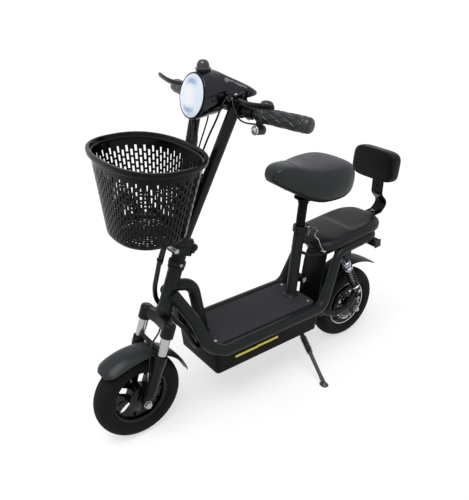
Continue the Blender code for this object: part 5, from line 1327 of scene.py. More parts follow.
for side in SIDES:
    for y, way in ((0.2758, -1), (0.3098, 1)):
        clamp_bolt = at(side * CLAMP_X, y, 0.8790)
        stem_bolts.append(screw_head(clamp_bolt, Vector((0, way, -0.4)), 0.0046, 0.0036))
    bracket_bolt = on_steerer(0.6330, STEM_FORWARD + 0.0078, side * 0.036)
    stem_bolts.append(screw_head(bracket_bolt, STEER_FORWARD, 0.0042, 0.0024))
stem_bolts.append(screw_head(on_steerer(0.4560, 0.0268, 0.0060), STEER_FORWARD, 0.0050, 0.0032))
piece("stem_bolts", merged(*stem_bolts), enamel, "upper_stem", "black_hardware")


# Basket: one injection-moulded polypropylene tub with staggered upright slots in its wall, a
# pierced floor, a plain band at the top and a rolled rim. Two screws hold it to the bracket.

# Glossy polypropylene: nearly black, with the soft ripple of the mould's polish
basket_plastic = coated(
    "moulded_gloss_polypropylene", "#060708", "#0A0B0C", 0.18, 5.0, 0.06, shine=0.12
)
BASKET_POWER = 2.4
WALL_THICKNESS = 0.0027
RING_SAMPLES = 1440


def basket_point(turn, z, inset):
    """A point of the basket's wall from an angle round it, with the wall's inset."""
    half_width, half_depth, centre = basket_size(z)
    c, s = math.cos(turn), math.sin(turn)
    x = (half_width - inset) * math.copysign(abs(c) ** (2 / BASKET_POWER), c)
    y = (half_depth - inset) * math.copysign(abs(s) ** (2 / BASKET_POWER), s)
    return at(x, centre + y, z)


# Even steps of length round the wall, so that every slot is as wide as the next
ring_samples = [basket_point(turn, 0.700, 0.0) for turn in [*around(RING_SAMPLES), math.tau]]
ring_lengths = [0.0]
for first, last in zip(ring_samples, ring_samples[1:]):
    ring_lengths.append(ring_lengths[-1] + (last - first).length)


def turn_at(share):
    """The angle at which this share of the way round the wall is reached."""
    goal = (share % 1.0) * ring_lengths[-1]
    low = bisect_right(ring_lengths, goal) - 1
    part = (goal - ring_lengths[low]) / (ring_lengths[low + 1] - ring_lengths[low])
    return math.tau * (low + part) / RING_SAMPLES


def pierced(surface, us, vs, is_open):
    """A double skin round a closed band of places, with walls round the cells left open."""
    points = [surface(u, v, layer) for layer in (0, 1) for v in vs for u in us]
    wide, tall = len(us), len(vs)

    def corner(i, j, layer):
        return layer * wide * tall + j * wide + i % wide

    def solid(i, j):
        return 0 <= j < tall - 1 and not is_open(i % wide, j)

    faces = []
    for j in range(tall - 1):
        for i in range(wide):
            if not solid(i, j):
                continue
            cell = (i, j), (i + 1, j), (i + 1, j + 1), (i, j + 1)
            faces.append(tuple(corner(*place, 0) for place in cell))
            faces.append(tuple(corner(*place, 1) for place in reversed(cell)))
            for beside, a, b in (
                ((i - 1, j), (i, j), (i, j + 1)), ((i + 1, j), (i + 1, j + 1), (i + 1, j)),
                ((i, j - 1), (i + 1, j), (i, j)), ((i, j + 1), (i, j + 1), (i + 1, j + 1)),
            ):
                if not solid(*beside):
                    faces.append((corner(*a, 0), corner(*b, 0), corner(*b, 1), corner(*a, 1)))
    return points, faces


# The slots stand in columns between ribs. Those of every other column are half a row higher, and
# the cuts across each row round their ends.
SLOT_COLUMNS, SLOT_ROWS = 72, 8
WALL_LOW, WALL_HIGH = 0.6085, 0.7800
us = [(column + edge) / SLOT_COLUMNS for column in range(SLOT_COLUMNS) for edge in (0, 0.50)]
pitch = (WALL_HIGH - WALL_LOW) / (SLOT_ROWS + 0.5)
cuts = (0.0, 0.115, 0.385, 0.5, 0.615, 0.885)
vs = [WALL_LOW + (row + cut) * pitch for row in range(SLOT_ROWS) for cut in cuts]
vs += [WALL_LOW + (SLOT_ROWS + cut) * pitch for cut in cuts[:4]]
wall_vs = [*vs, 0.7850, 0.7945]


def slot_open(i, j):
    column, rib = divmod(i, 2)
    row, cell = divmod(j, len(cuts))
    if rib or j >= len(vs) - 1:
        return False
    if column % 2 == 0:
        return 1 <= cell <= 4 and row < SLOT_ROWS
    return row < SLOT_ROWS if cell >= 4 else cell <= 1 and row > 0


def wall_surface(u, z, layer):
    return basket_point(turn_at(u), z, WALL_THICKNESS if layer else 0.0)


FLOOR_Z, FLOOR_COLUMNS = 0.6035, 38


def floor_surface(u, share, layer):
    edge = basket_point(turn_at(u), FLOOR_Z, 0.006)
    p = at(0, 0.0652, FLOOR_Z).lerp(edge, share)
    fall = 0.0 if layer else -0.0026
    return Vector((p.x, p.y, p.z + fall - 0.0005))


floor_us = [(column + edge) / FLOOR_COLUMNS for column in range(FLOOR_COLUMNS) for edge in (0, 0.55)]
floor_vs = [0.02, *[0.16 + row * 0.12 + cut for row in range(7) for cut in (0, 0.07)], 1.0]


def floor_open(i, j):
    """Holes between the floor's ribs; the innermost ring has only half as many."""
    hole = i % 2 == 0 and j % 2 == 1 and j < len(floor_vs) - 2
    return hole and not (j == 1 and (i // 2) % 2)


foot_profile = [
    (0.0120, 0.6002), (0.0060, 0.6004), (0.0028, 0.6022), (0.0008, 0.6055), (0.0, 0.6090),
    (WALL_THICKNESS, 0.6092), (0.0040, 0.6062), (0.0075, 0.6040), (0.0120, 0.6032),
]
rim_profile = [
    (0.0, 0.7935), (-0.0030, 0.7938), (-0.0066, 0.7944), (-0.0078, 0.7960), (-0.0080, 0.8010),
    (-0.0076, 0.8050), (-0.0062, 0.8072), (-0.0040, 0.8080), (0.0, 0.8080), (0.0016, 0.8072),
    (0.0022, 0.8050), (WALL_THICKNESS, 0.7990), (0.0052, 0.7975), (0.0056, 0.7955),
    (0.0040, 0.7938), (WALL_THICKNESS, 0.7930),
]


def basket_band(profile):
    """A band round the basket from (inset, height) pairs."""
    return rejoined([[basket_point(turn, z, inset) for turn in around(144)] for inset, z in profile])


basket = merged(
    pierced(wall_surface, us, wall_vs, slot_open),
    pierced(floor_surface, floor_us, floor_vs, floor_open),
    basket_band(foot_profile), basket_band(rim_profile),
)
piece("basket_tub", basket, basket_plastic, "upper_stem", "gloss_plastic", "basket", sharp=32)
screw_y = basket_back(bracket_z) - 0.0030
basket_screws = [
    screw_head(at(x, screw_y, bracket_z), -BACKWARD, 0.0065, 0.0028) for x in (-0.022, 0.022)
]
piece("basket_screws", merged(*basket_screws), zinc, "upper_stem", "zinc_plate")


# Bar: a 22.2 mm steel tube with swept ends. The left grip is fixed, the right one turns as the
# throttle; both are rubber with a raised leaf pattern. A lever on each side works the brakes.

BAR_RADIUS = 0.0111
# How far from the middle the bar bends, and from there to its end and to the grip's start
BEND_X, BAR_END, GRIP_START = 0.1000, 0.1790, 0.0520


def bar_line(side, distance):
    """A point of the bar's swept end, this far out from the bend, and the end's direction."""
    bend = BAR_MIDDLE + ACROSS * (side * BEND_X)
    direction = (at(side * 0.275, 0.337, 0.8815) - bend).normalized()
    return bend + direction * distance, direction


bar_corners = [
    bar_line(side, distance)[0] for side, distance in ((1, BAR_END), (1, 0), (-1, 0), (-1, BAR_END))
]
bar = sweep(arcs(bar_corners, [0.060, 0.060]), BAR_RADIUS)
piece("bar_tube", bar, enamel, "upper_stem", "black_hardware", "handlebar")

# Grip rubber: soft, matt and slightly dusty in the pattern's valleys
grip_rubber = coated("grip_rubber", "#202224", "#2C2E31", 0.36, 1.6, 0.05, shine=0.38, patch_mm=25)
LEAVES_AROUND, LEAF_LENGTH = 12, 0.0185
LEAVES_FROM, LEAVES_TO = 0.0100, 0.1130
LEAF_RISE, GROOVE_DEPTH = 0.0012, 0.0028


def leaf_lift(angle, distance):
    """How far the leaves stand out of the grip, with crossed grooves between them."""
    if not LEAVES_FROM < distance < LEAVES_TO:
        return 0.0
    across = angle / math.tau * LEAVES_AROUND
    along = (distance - LEAVES_FROM) / LEAF_LENGTH
    groove = min(abs(math.sin(math.pi * (along + sign * across) / 2)) for sign in (1, -1))
    return LEAF_RISE - GROOVE_DEPTH * max(0.0, 1 - groove / 0.55) ** 1.1


def grip_shape(side):
    base, direction = bar_line(side, GRIP_START)
    first, second = square_to(direction)
    profile = [
        (0.0112, 0), (0.0189, 0), (0.0195, 0.0008), (0.0195, 0.0046), (0.0186, 0.0060),
        (0.0172, 0.0075), *[(0.0171 + 0.0011 * i / 84, 0.0090 + 0.1050 * i / 84) for i in range(85)],
        (0.0184, 0.1160), (0.0185, 0.1190), (0.0182, 0.1230), (0.0172, 0.1268), (0.0150, 0.1296),
        (0.0105, 0.1310), (0.0040, 0.1310),
    ]
    rows = []
    for radius, distance in profile:
        centre = base + direction * distance
        rows.append([
            centre + (first * math.cos(a) + second * math.sin(a)) * (radius + leaf_lift(a, distance))
            for a in around(168)
        ])
    return banded(rows)


left_grip, right_grip = grip_shape(1), grip_shape(-1)
piece("left_grip_rubber", left_grip, grip_rubber, "upper_stem", "grip_rubber", "grip_left", sharp=50)
piece(
    "throttle_grip_rubber", right_grip, grip_rubber, "throttle", "grip_rubber", "throttle_grip",
    sharp=50,
)

# Brake lever and perch, made for the left side. The lever turns between the perch's two jaws, and
# the cable leaves it through a plated barrel.
LEVER_PIVOT = at(0.1010, 0.2680, 0.9190)
LEVER_TIP = at(0.2360, 0.2650, 0.9260)
outward = (LEVER_TIP - LEVER_PIVOT).normalized()
lever_up = Vector((0, -0.28, 0.96)).normalized()
lever_up = (lever_up - outward * lever_up.dot(outward)).normalized()
ahead = outward.cross(lever_up)
perch_middle, perch_along = bar_line(1, 0.0160)
jaws = []
for sign in (-1, 1):
    jaws.append(banded([
        superellipse(
            LEVER_PIVOT - ahead * back + lever_up * sign * lift, outward, lever_up, half_out, 0.0024,
            3.4, 24,
        )
        for back, half_out, lift in (
            (0.022, 0.0080, 0.0066), (0.012, 0.0088, 0.0076), (0.0, 0.0100, 0.0080),
            (-0.008, 0.0092, 0.0080),
        )
    ]))
neck_start = perch_middle + ahead * 0.004 + lever_up * 0.006
neck_rows = [
    superellipse(neck_start, perch_along, lever_up, 0.0080, 0.0080, 3.4, 24),
    superellipse(LEVER_PIVOT - ahead * 0.020, outward, lever_up, 0.0086, 0.0098, 3.6, 24),
    superellipse(LEVER_PIVOT - ahead * 0.0090, outward, lever_up, 0.0094, 0.0104, 4.0, 24),
]
barrel_profile = [
    (0.0056, -0.0010), (0.0062, 0.0), (0.0062, 0.0080), (0.0050, 0.0092), (0.0047, 0.0100),
    (0.0047, 0.0180), (0.0038, 0.0192), (0.0036, 0.0240),
]
perch = merged(pin(perch_middle, perch_along * 0.0090, 0.0160, 0.0010), banded(neck_rows), *jaws)
perch_metal = merged(
    lathe(barrel_profile, LEVER_PIVOT - outward * 0.0080, -outward, 28),
    pin(LEVER_PIVOT, lever_up * 0.0112, 0.0030),
    screw_head(LEVER_PIVOT + lever_up * 0.0104, lever_up, 0.0044, 0.0018),
    screw_head(perch_middle - Vector((0, 0.0060, 0.0148)), Vector((0, -0.4, -1)), 0.0036, 0.0026),
)
# Share of the way to the tip, bow forward, half-height and half-depth
blade = smooth((
    (-0.045, 0.0, 0.0046, 0.0060), (0.02, 0.0, 0.0048, 0.0085), (0.12, 0.002, 0.0050, 0.0070),
    (0.30, 0.008, 0.0058, 0.0055), (0.55, 0.010, 0.0068, 0.0045), (0.80, 0.005, 0.0070, 0.0045),
    (0.94, 0.0015, 0.0066, 0.0044), (0.985, 0.0, 0.0058, 0.0038), (1.0, 0.0, 0.0034, 0.0022),
), 5)
lever_rows = []
for share, bow, half_height, half_depth in blade:
    middle = LEVER_PIVOT.lerp(LEVER_TIP, share) + ahead * (bow + 0.003)
    lever_rows.append(superellipse(middle, ahead, lever_up, half_depth, half_height, 2.6, 24))
lever = banded(lever_rows)


def flipped(shape):
    """The same shape for the scooter's other side."""
    points, faces = shape
    return [Vector((-p.x, p.y, p.z)) for p in points], [tuple(reversed(face)) for face in faces]


for side, word in SIDES.items():
    for name, shape, material, body, slot, *nodes in (
        ("perch", perch, enamel, "upper_stem", "black_hardware", f"lever_perch_{word}"),
        ("perch_barrel", perch_metal, zinc, "upper_stem", "zinc_plate"),
        ("brake_blade", lever, enamel, f"{word}_lever", "black_hardware", f"brake_lever_{word}"),
    ):
        placed = shape if side == 1 else flipped(shape)
        piece(f"{word}_{name}", placed, material, body, slot, *nodes)

# Switch pod with the horn's round chromed button under it
pod_middle, pod_along = bar_line(1, 0.0440)
socket_base = pod_middle + Vector((0.0080, -0.0060, -0.0325))
horn_forward = Vector((0, -1, 0.1)).normalized()
# Moulded ABS: smooth and faintly rippled, between satin and gloss
moulded_abs = coated("moulded_abs", "#1A1C1D", "#242628", 0.24, 3.0, 0.06, shine=0.30)
pod_profile = [
    (0.0150, -0.002), (0.0165, 0.0), (0.0175, 0.0080), (0.0175, 0.0150), (0.0168, 0.0200),
    (0.0150, 0.0250), (0.0122, 0.0285), (0.0080, 0.0308), (0.0030, 0.0315),
]
horn_socket = [
    (0.0082, 0.0160), (0.0110, 0.0160), (0.0115, 0.0152), (0.0115, -0.0080), (0.0100, -0.0100),
    (0.0020, -0.0104), (0.0020, 0.0050), (0.0082, 0.0060),
]
pod_base = pod_middle + Vector((0.0110, 0.0060, 0.0020))
pod = merged(
    pin(pod_middle, pod_along * 0.0066, 0.0170, 0.0012),
    lathe(pod_profile, pod_base, Vector((0, 0.20, 1.0)), 40),
    slab(pod_middle + Vector((0.0020, -0.0040, -0.0220)), (0.0090, 0.0140, 0.0200)),
    lathe(horn_socket, socket_base, horn_forward, 40, ring=True),
)
piece("switch_housing", pod, moulded_abs, "upper_stem", "gloss_plastic", "switch_pod", bevel=0.0008)
# Satin chrome plate on the horn's button: bright, with a soft reflection
satin_chrome = coated(
    "satin_chrome_plate", "#C9CBCE", "#B8BABE", 0.32, 6.0, 0.004, metallic=1.0, patch_mm=10
)
bezel_profile = [
    (0.0084, 0.0150), (0.0116, 0.0150), (0.0119, 0.0156), (0.0119, 0.0172), (0.0112, 0.0180),
    (0.0090, 0.0180), (0.0084, 0.0174),
]
horn_ring = lathe(bezel_profile, socket_base, horn_forward, 40, ring=True)
piece("horn_bezel", horn_ring, satin_chrome, "upper_stem", "zinc_plate")
button_profile = [
    (0.0074, 0.0), (0.0074, 0.0112), (0.0070, 0.0122), (0.0056, 0.0130), (0.0020, 0.0134),
]
button = lathe(button_profile, socket_base + horn_forward * 0.0085, horn_forward, 36)
piece("horn_cap", button, satin_chrome, "horn", "zinc_plate", "horn_button")


# Headlight: a clear domed lens in a thin dark bezel, in a gloss cowl moulded in one with two short
# wings that cover the bar clamps. A black domed bell is fixed on top.

LENS_TILT = math.radians(12.5)
lens_ahead = Vector((0, -math.cos(LENS_TILT), math.sin(LENS_TILT)))
lens_up = Vector((0, math.sin(LENS_TILT), math.cos(LENS_TILT)))
lens_centre = at(0, 0.2140, 0.9150)
LENS_NARROW = 0.93
# Gloss black paint over a moulding whose slight waves break up the reflections. Its navy tinge and
# lighter bluish patches are painted reflections.
cowl_paint_painted_reflections = coated(
    "gloss_black_paint_navy_painted_reflections", "#040508", "#141826", 0.12, 11.0, 1.60, shine=0.36, patch_mm=22
)
cowl_shell = [
    superellipse(
        lens_centre + lens_ahead * forward, ACROSS, lens_up, radius * LENS_NARROW, radius, 2.0, 72
    )
    for radius, forward in (
        (0.0500, 0.0010), (0.0536, 0.0012), (0.0548, 0.0002), (0.0556, -0.0030), (0.0560, -0.0060)
    )
]
# Distance back, half-width, the heights of the underside and the top, and the outline's power
cowl_stations = smooth((
    (0.2420, 0.0575, 0.8640, 0.9720, 2.0), (0.2600, 0.0580, 0.8660, 0.9715, 2.1),
    (0.2740, 0.0620, 0.8730, 0.9690, 2.2), (0.2880, 0.0860, 0.8940, 0.9600, 2.6),
    (0.3020, 0.1030, 0.9060, 0.9510, 3.0), (0.3180, 0.1040, 0.9100, 0.9420, 3.0),
    (0.3310, 0.0960, 0.9130, 0.9330, 2.8), (0.3380, 0.0820, 0.9170, 0.9280, 2.4),
), 5)
for y, half_width, low, high, power in cowl_stations:
    middle, half_height = at(0, y, (low + high) / 2), (high - low) / 2
    cowl_shell.append(superellipse(middle, ACROSS, UPWARD, half_width, half_height, power, 72))
cowl_shell.append(superellipse(at(0, 0.3386, 0.9225), ACROSS, UPWARD, 0.0740, 0.0030, 2.4, 72))
cowl = banded(cowl_shell)
piece("headlight_shell", cowl, cowl_paint_painted_reflections, "upper_stem", "gloss_plastic", "headlight_cowl", sharp=60)


def narrowed(shape):
    """The headlight is a little narrower than it is high."""
    return [Vector((p[0] * LENS_NARROW, p[1], p[2])) for p in shape[0]], shape[1]


bezel_profile = [
    (0.0500, 0.0006), (0.0534, 0.0006), (0.0540, 0.0014), (0.0538, 0.0040), (0.0526, 0.0050),
    (0.0508, 0.0040),
]
bezel = narrowed(lathe(bezel_profile, lens_centre, lens_ahead, 96, ring=True))
piece("headlight_bezel", bezel, gloss_paint, "upper_stem", "gloss_plastic")

# Clear polycarbonate, lit from behind: white with a blue cast, brightest in the middle, and two
# lavender crescents where the reflector's bowl shows above and below
lens_glass = bpy.data.materials.new("lit_polycarbonate_lens")
lens_glass.use_nodes = True
tree = lens_glass.node_tree
shader = tree.nodes["Principled BSDF"]
where = add_node(tree, "ShaderNodeTexCoord")
centred = add_node(
    tree, "ShaderNodeVectorMath", {"operation": "SUBTRACT"},
    _0=where.outputs["Object"], _1=tuple(lens_centre),
)
height = add_node(
    tree, "ShaderNodeVectorMath", {"operation": "DOT_PRODUCT"}, _0=centred.outputs[0], _1=tuple(lens_up)
)
along_x = add_node(tree, "ShaderNodeSeparateXYZ", Vector=centred.outputs[0])
bowed = add_node(tree, "ShaderNodeMath", {"operation": "POWER"}, _0=along_x.outputs[0], _1=2.0)
lifted = add_node(tree, "ShaderNodeMath", {"operation": "ABSOLUTE"}, _0=height.outputs["Value"])
arch = add_node(
    tree, "ShaderNodeMath", {"operation": "MULTIPLY_ADD"},
    _0=bowed.outputs[0], _1=9.0, _2=lifted.outputs[0],
)
mapped = add_node(tree, "ShaderNodeMapRange", Value=arch.outputs[0], From_Max=0.060)
crescent = add_node(tree, "ShaderNodeValToRGB", _0=mapped.outputs[0])
ramp = crescent.color_ramp
ramp.elements[0].position, ramp.elements[0].color = 0.0, hex_colour("#FFFFFF")
ramp.elements[1].position, ramp.elements[1].color = 1.0, hex_colour("#DDE9F6")
for place, shade in (
    (0.30, "#FFFFFF"), (0.42, "#E4F3FC"), (0.52, "#8F9FDC"), (0.60, "#94A2D8"), (0.72, "#DCE8F6")
):
    stop = ramp.elements.new(place)
    stop.color = hex_colour(shade)
flutes = add_node(
    tree, "ShaderNodeTexWave", {"bands_direction": "X"}, Vector=where.outputs["Object"], Scale=30.0
)
fluted = add_node(tree, "ShaderNodeBump", Height=flutes.outputs[0], Distance=0.0006, Strength=0.3)
sideward = add_node(tree, "ShaderNodeMapRange", Value=bowed.outputs[0], From_Max=0.0007)
faded = add_node(
    tree, "ShaderNodeMix", {"data_type": "RGBA"},
    _0=sideward.outputs[0], _6=crescent.outputs[0], _7=hex_colour("#E9F4FC"),
)
tree.links.new(faded.outputs[2], shader.inputs["Emission Color"])
tree.links.new(fluted.outputs[0], shader.inputs["Normal"])
shader.inputs["Emission Strength"].default_value = 0.74
shader.inputs["Base Color"].default_value = hex_colour("#5C6675")
shader.inputs["Roughness"].default_value = 0.06
lens_profile = [
    (0.0511, 0.0004), (0.0512, 0.0030), (0.0500, 0.0048), (0.0470, 0.0064), (0.0400, 0.0084),
    (0.0300, 0.0102), (0.0190, 0.0114), (0.0090, 0.0119), (0.0010, 0.0120),
]
lens = narrowed(lathe(lens_profile, lens_centre, lens_ahead, 96))
piece("headlight_dome", lens, lens_glass, "upper_stem", "lens_glass", "headlight_lens")

# Cold-drawn steel dome in grey-black lacquer, on a plastic foot
bell_lacquer = coated(
    "grey_black_bell_lacquer", "#2A2C2F", "#34373B", 0.16, 4.0, 0.05, shine=0.50, patch_mm=12
)
bell_profile = [
    (0.0172, 0.0002), (0.0176, 0.0030), (0.0188, 0.0042), (0.0192, 0.0056), (0.0190, 0.0070),
    (0.0180, 0.0078), (0.0160, 0.0081), (0.0157, 0.0086), (0.0155, 0.0112), (0.0149, 0.0150),
    (0.0136, 0.0188), (0.0116, 0.0220), (0.0091, 0.0243), (0.0061, 0.0256), (0.0030, 0.0262),
    (0.0006, 0.0263),
]
bell_dome = lathe(bell_profile, at(0, 0.2450, 0.9690), UPWARD, 56)
piece("bell_dome", bell_dome, bell_lacquer, "upper_stem", "black_hardware", "bell")


# Cables: PVC-sleeved brake and throttle cables and the lamp's wires run down between the stem's
# tubes into a hose, which passes the head tube to the deck. The horn's wire stays on the bar, and
# the front brake's cable runs from the crown to the drum.

CABLE_RADIUS, WIRE_RADIUS, HOSE_RADIUS = 0.0025, 0.0020, 0.0066
# PVC sleeve: smooth and satin, a little lighter where it bends
sleeve = coated("pvc_cable_sleeve", "#060607", "#0A0A0B", 0.28, 2.0, 0.02, shine=0.30, patch_mm=30)


def places(points):
    return [at(*point) for point in points]


def cable(name, points, radius, body, node=None, steps=6, bends=None):
    """A sleeved cord on a body. One given bends rides on no body and its mesh stays where it lies; the
    bodies and places in bends are not used.
    """
    route = smooth(points, steps)
    tube, nodes = sweep(route, radius, 16), [node] if node else []
    obj = piece(name, tube, sleeve, None if bends else body, "cable_sleeve", *nodes)
    if bends:
        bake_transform(obj)
    return route


left_cable = [
    (0.0687, 0.2687, 0.9173), (0.0663, 0.2688, 0.9172), (0.0650, 0.2620, 0.9110),
    (0.0625, 0.2520, 0.8960), (0.0520, 0.2440, 0.8640), (0.0300, 0.2360, 0.8200),
    (0.0220, 0.2220, 0.7800), (0.0120, 0.2040, 0.7200), (0.0042, 0.1905, 0.6790),
    (0.0026, 0.1852, 0.6640),
]
cable("left_brake_cable", places(left_cable), CABLE_RADIUS, "upper_stem", "brake_cable_upper")
right_cable = [
    (-0.0687, 0.2687, 0.9173), (-0.0663, 0.2688, 0.9172), (-0.0650, 0.2620, 0.9110),
    (-0.0615, 0.2500, 0.8940), (-0.0480, 0.2400, 0.8600), (-0.0300, 0.2300, 0.8150),
    (-0.0230, 0.2160, 0.7700), (-0.0120, 0.1990, 0.7100), (-0.0044, 0.1890, 0.6780),
    (-0.0026, 0.1842, 0.6640),
]
cable("right_brake_cable", places(right_cable), CABLE_RADIUS, "upper_stem")
lamp_wire = [
    (0.0100, 0.2500, 0.8780), (0.0110, 0.2480, 0.8600), (0.0040, 0.2420, 0.8300),
    (-0.0060, 0.2330, 0.7900), (-0.0020, 0.2160, 0.7450), (0.0000, 0.1960, 0.6960),
    (0.0003, 0.1880, 0.6760), (0.0003, 0.1825, 0.6640),
]
cable("lamp_wire", places(lamp_wire), WIRE_RADIUS, "upper_stem")
throttle_wire = [
    (-0.1060, 0.2900, 0.8735), (-0.0980, 0.2820, 0.8620), (-0.0700, 0.2650, 0.8450),
    (-0.0380, 0.2480, 0.8100), (-0.0200, 0.2320, 0.7800), (-0.0070, 0.2120, 0.7350),
    (-0.0012, 0.1935, 0.6800), (-0.0002, 0.1868, 0.6640),
]
cable("throttle_wire", places(throttle_wire), 0.0019, "upper_stem")

horn_wire = [
    (0.0930, 0.2620, 0.9130), (0.0985, 0.2590, 0.9060), (0.1090, 0.2580, 0.8900),
    (0.1200, 0.2600, 0.8770), (0.1300, 0.2700, 0.8690), (0.1385, 0.2880, 0.8650),
    (0.1430, 0.3020, 0.8640),
]
cable("horn_wire", places(horn_wire), WIRE_RADIUS, "upper_stem")

# The hose gathers the cables between the stem's tubes and comes out in front. A tie holds it at the
# middle.
hose_mouth, hose_bend, hose_tie = places((
    (0.0, 0.1870, 0.6720), (-0.0005, 0.1790, 0.6540), (-0.0080, 0.1020, 0.5100)
))
blend_top, blend_foot = at(-0.0020, 0.1640, 0.6290), at(-0.024, 0.1420, 0.3020)
upper_hose = [
    hose_mouth, hose_bend, blend_top, at(-0.0035, 0.1480, 0.6060), at(-0.0045, 0.1330, 0.5820),
    at(-0.0060, 0.1165, 0.5460), hose_tie,
]
cable(
    "upper_hose", upper_hose, HOSE_RADIUS, "steering", steps=8,
    bends=("upper_stem", hose_tie, blend_top),
)
cuff_profile = [
    (0.0050, -0.0040), (0.0066, -0.0030), (0.0080, 0.0), (0.0080, 0.0120), (0.0072, 0.0150),
    (0.0060, 0.0150),
]
mouth_cuff = lathe(cuff_profile, hose_mouth, hose_bend - hose_mouth, 24)
piece("hose_mouth_cuff", mouth_cuff, seal_rubber, "upper_stem", "cable_sleeve")
tie_profile = [(0.0068, -0.0022), (0.0084, -0.0020), (0.0084, 0.0020), (0.0068, 0.0022)]
tie = lathe(tie_profile, hose_tie, Vector((-0.008, -0.022, -0.118)), 24, ring=True)
piece("hose_tie", tie, seal_rubber, "steering", "cable_sleeve")
below_tie = at(-0.0125, 0.0925, 0.4640)
lower_hose = [
    hose_tie, below_tie, *places((
        (-0.020, 0.0880, 0.4250), (-0.034, 0.0980, 0.3800), (-0.037, 0.1200, 0.3380),
    )), blend_foot, *places((
        (-0.008, 0.1680, 0.2650), (0.0, 0.1830, 0.2250), (0.0, 0.1960, 0.2020), (0.0, 0.2040, 0.1965),
    )),
]
cable(
    "lower_hose", lower_hose, HOSE_RADIUS, "frame", "wiring_loom", steps=8,
    bends=("steering", blend_foot, below_tie),
)
# The front brake's cable leaves the crown for the drum
brake_cable = places((
    (0.0301, 0.0640, 0.3205), (0.0340, 0.0500, 0.3100), (0.0420, 0.0330, 0.3000),
    (0.0475, 0.0240, 0.2780), (0.0470, 0.0200, 0.2400), (0.0420, 0.0150, 0.2010),
))
brake_route = cable(
    "front_brake_cable", [brake_cable[0] + STEER_AXIS * 0.0100, *brake_cable], CABLE_RADIUS,
    "steering", "brake_cable_lower", bends=("fork", brake_cable[0], brake_cable[4]),
)
ferrule = sweep(brake_route[-4:], [0.0036, 0.0038, 0.0036, 0.0029], 16)
piece("brake_cable_ferrule", ferrule, zinc, "fork", "zinc_plate")
# The bare wire goes on from the sleeve to the arm's clamp, which pulls it up with the lever
wire_top, wire_foot = at(0.0421, 0.0151, 0.2020), at(0.0388, 0.0154, 0.1790)
wire_line = [wire_top.lerp(wire_foot, i / 8) for i in range(9)]
brake_wire = piece("brake_inner_wire", sweep(wire_line, 0.0010, 10), zinc, None, "zinc_plate")
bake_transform(brake_wire)


# Rear wheel: a hub motor cast in one with the rim, its finned face skimmed bright in rings, in the
# same size of tyre. Swing arm: two bent tubes on a cross tube, with a plate each side to the axle.

motor_half = [
    (0.0802, 0.0182), (0.0826, 0.0200), (0.0830, 0.0226), (0.0822, 0.0236), (0.0795, 0.0232),
    (0.0770, 0.0205), (0.0745, 0.0190), (0.0712, 0.0160), (0.0680, 0.0140), (0.0655, 0.0150),
    (0.0632, 0.0230), (0.0605, 0.0285), (0.0585, 0.0296), (0.0440, 0.0345), (0.0420, 0.0372),
    (0.0260, 0.0402), (0.0235, 0.0412), (0.0200, 0.0420), (0.0064, 0.0420),
]
motor_profile = motor_half + mirrored(motor_half)
motor = lathe(motor_profile, REAR_AXLE, ACROSS, 96, ring=True)
piece("hub_motor_casting", motor, wheel_enamel, "rear_wheel", "wheel_alloy", "rear_hub_motor")
bands = []
for side in SIDES:
    outward = ACROSS * side
    for inner, outer, face in ((0.0765, 0.0792, 0.0228), (0.0434, 0.0452, 0.0352)):
        band = [
            (inner, face - 0.0016), (inner, face + 0.0004), (outer, face + 0.0012),
            (outer, face - 0.0016),
        ]
        bands.append(lathe(band, REAR_AXLE, outward, 96, ring=True))
    for number in range(6):
        middle = math.radians(18 + 60 * number)
        rows = []
        for i in range(7):
            angle = middle + math.radians(-17 + 34 * i / 6)
            rows.append([
                REAR_AXLE + Vector((side * x, r * math.cos(angle), r * math.sin(angle)))
                for r, x in ((0.0500, 0.0318), (0.0560, 0.0300), (0.0560, 0.0325), (0.0500, 0.0343))
            ])
        bands.append(banded(rows))
        turn = middle + math.radians(30)
        spot = Vector((side * 0.0318, 0.0530 * math.cos(turn), 0.0530 * math.sin(turn)))
        bands.append(screw_head(REAR_AXLE + spot, outward, 0.0026, 0.0018))
piece(
    "motor_bright_bands", merged(*bands), bright_alloy, "rear_wheel", "zinc_plate", bevel=0.0003
)
rear_axle = axle_with_nuts(REAR_AXLE, 0.0653, 0.0780, 0.0105, 0.06)
piece("rear_axle_and_nuts", rear_axle, zinc, "rear_arm", "zinc_plate", "rear_axle")

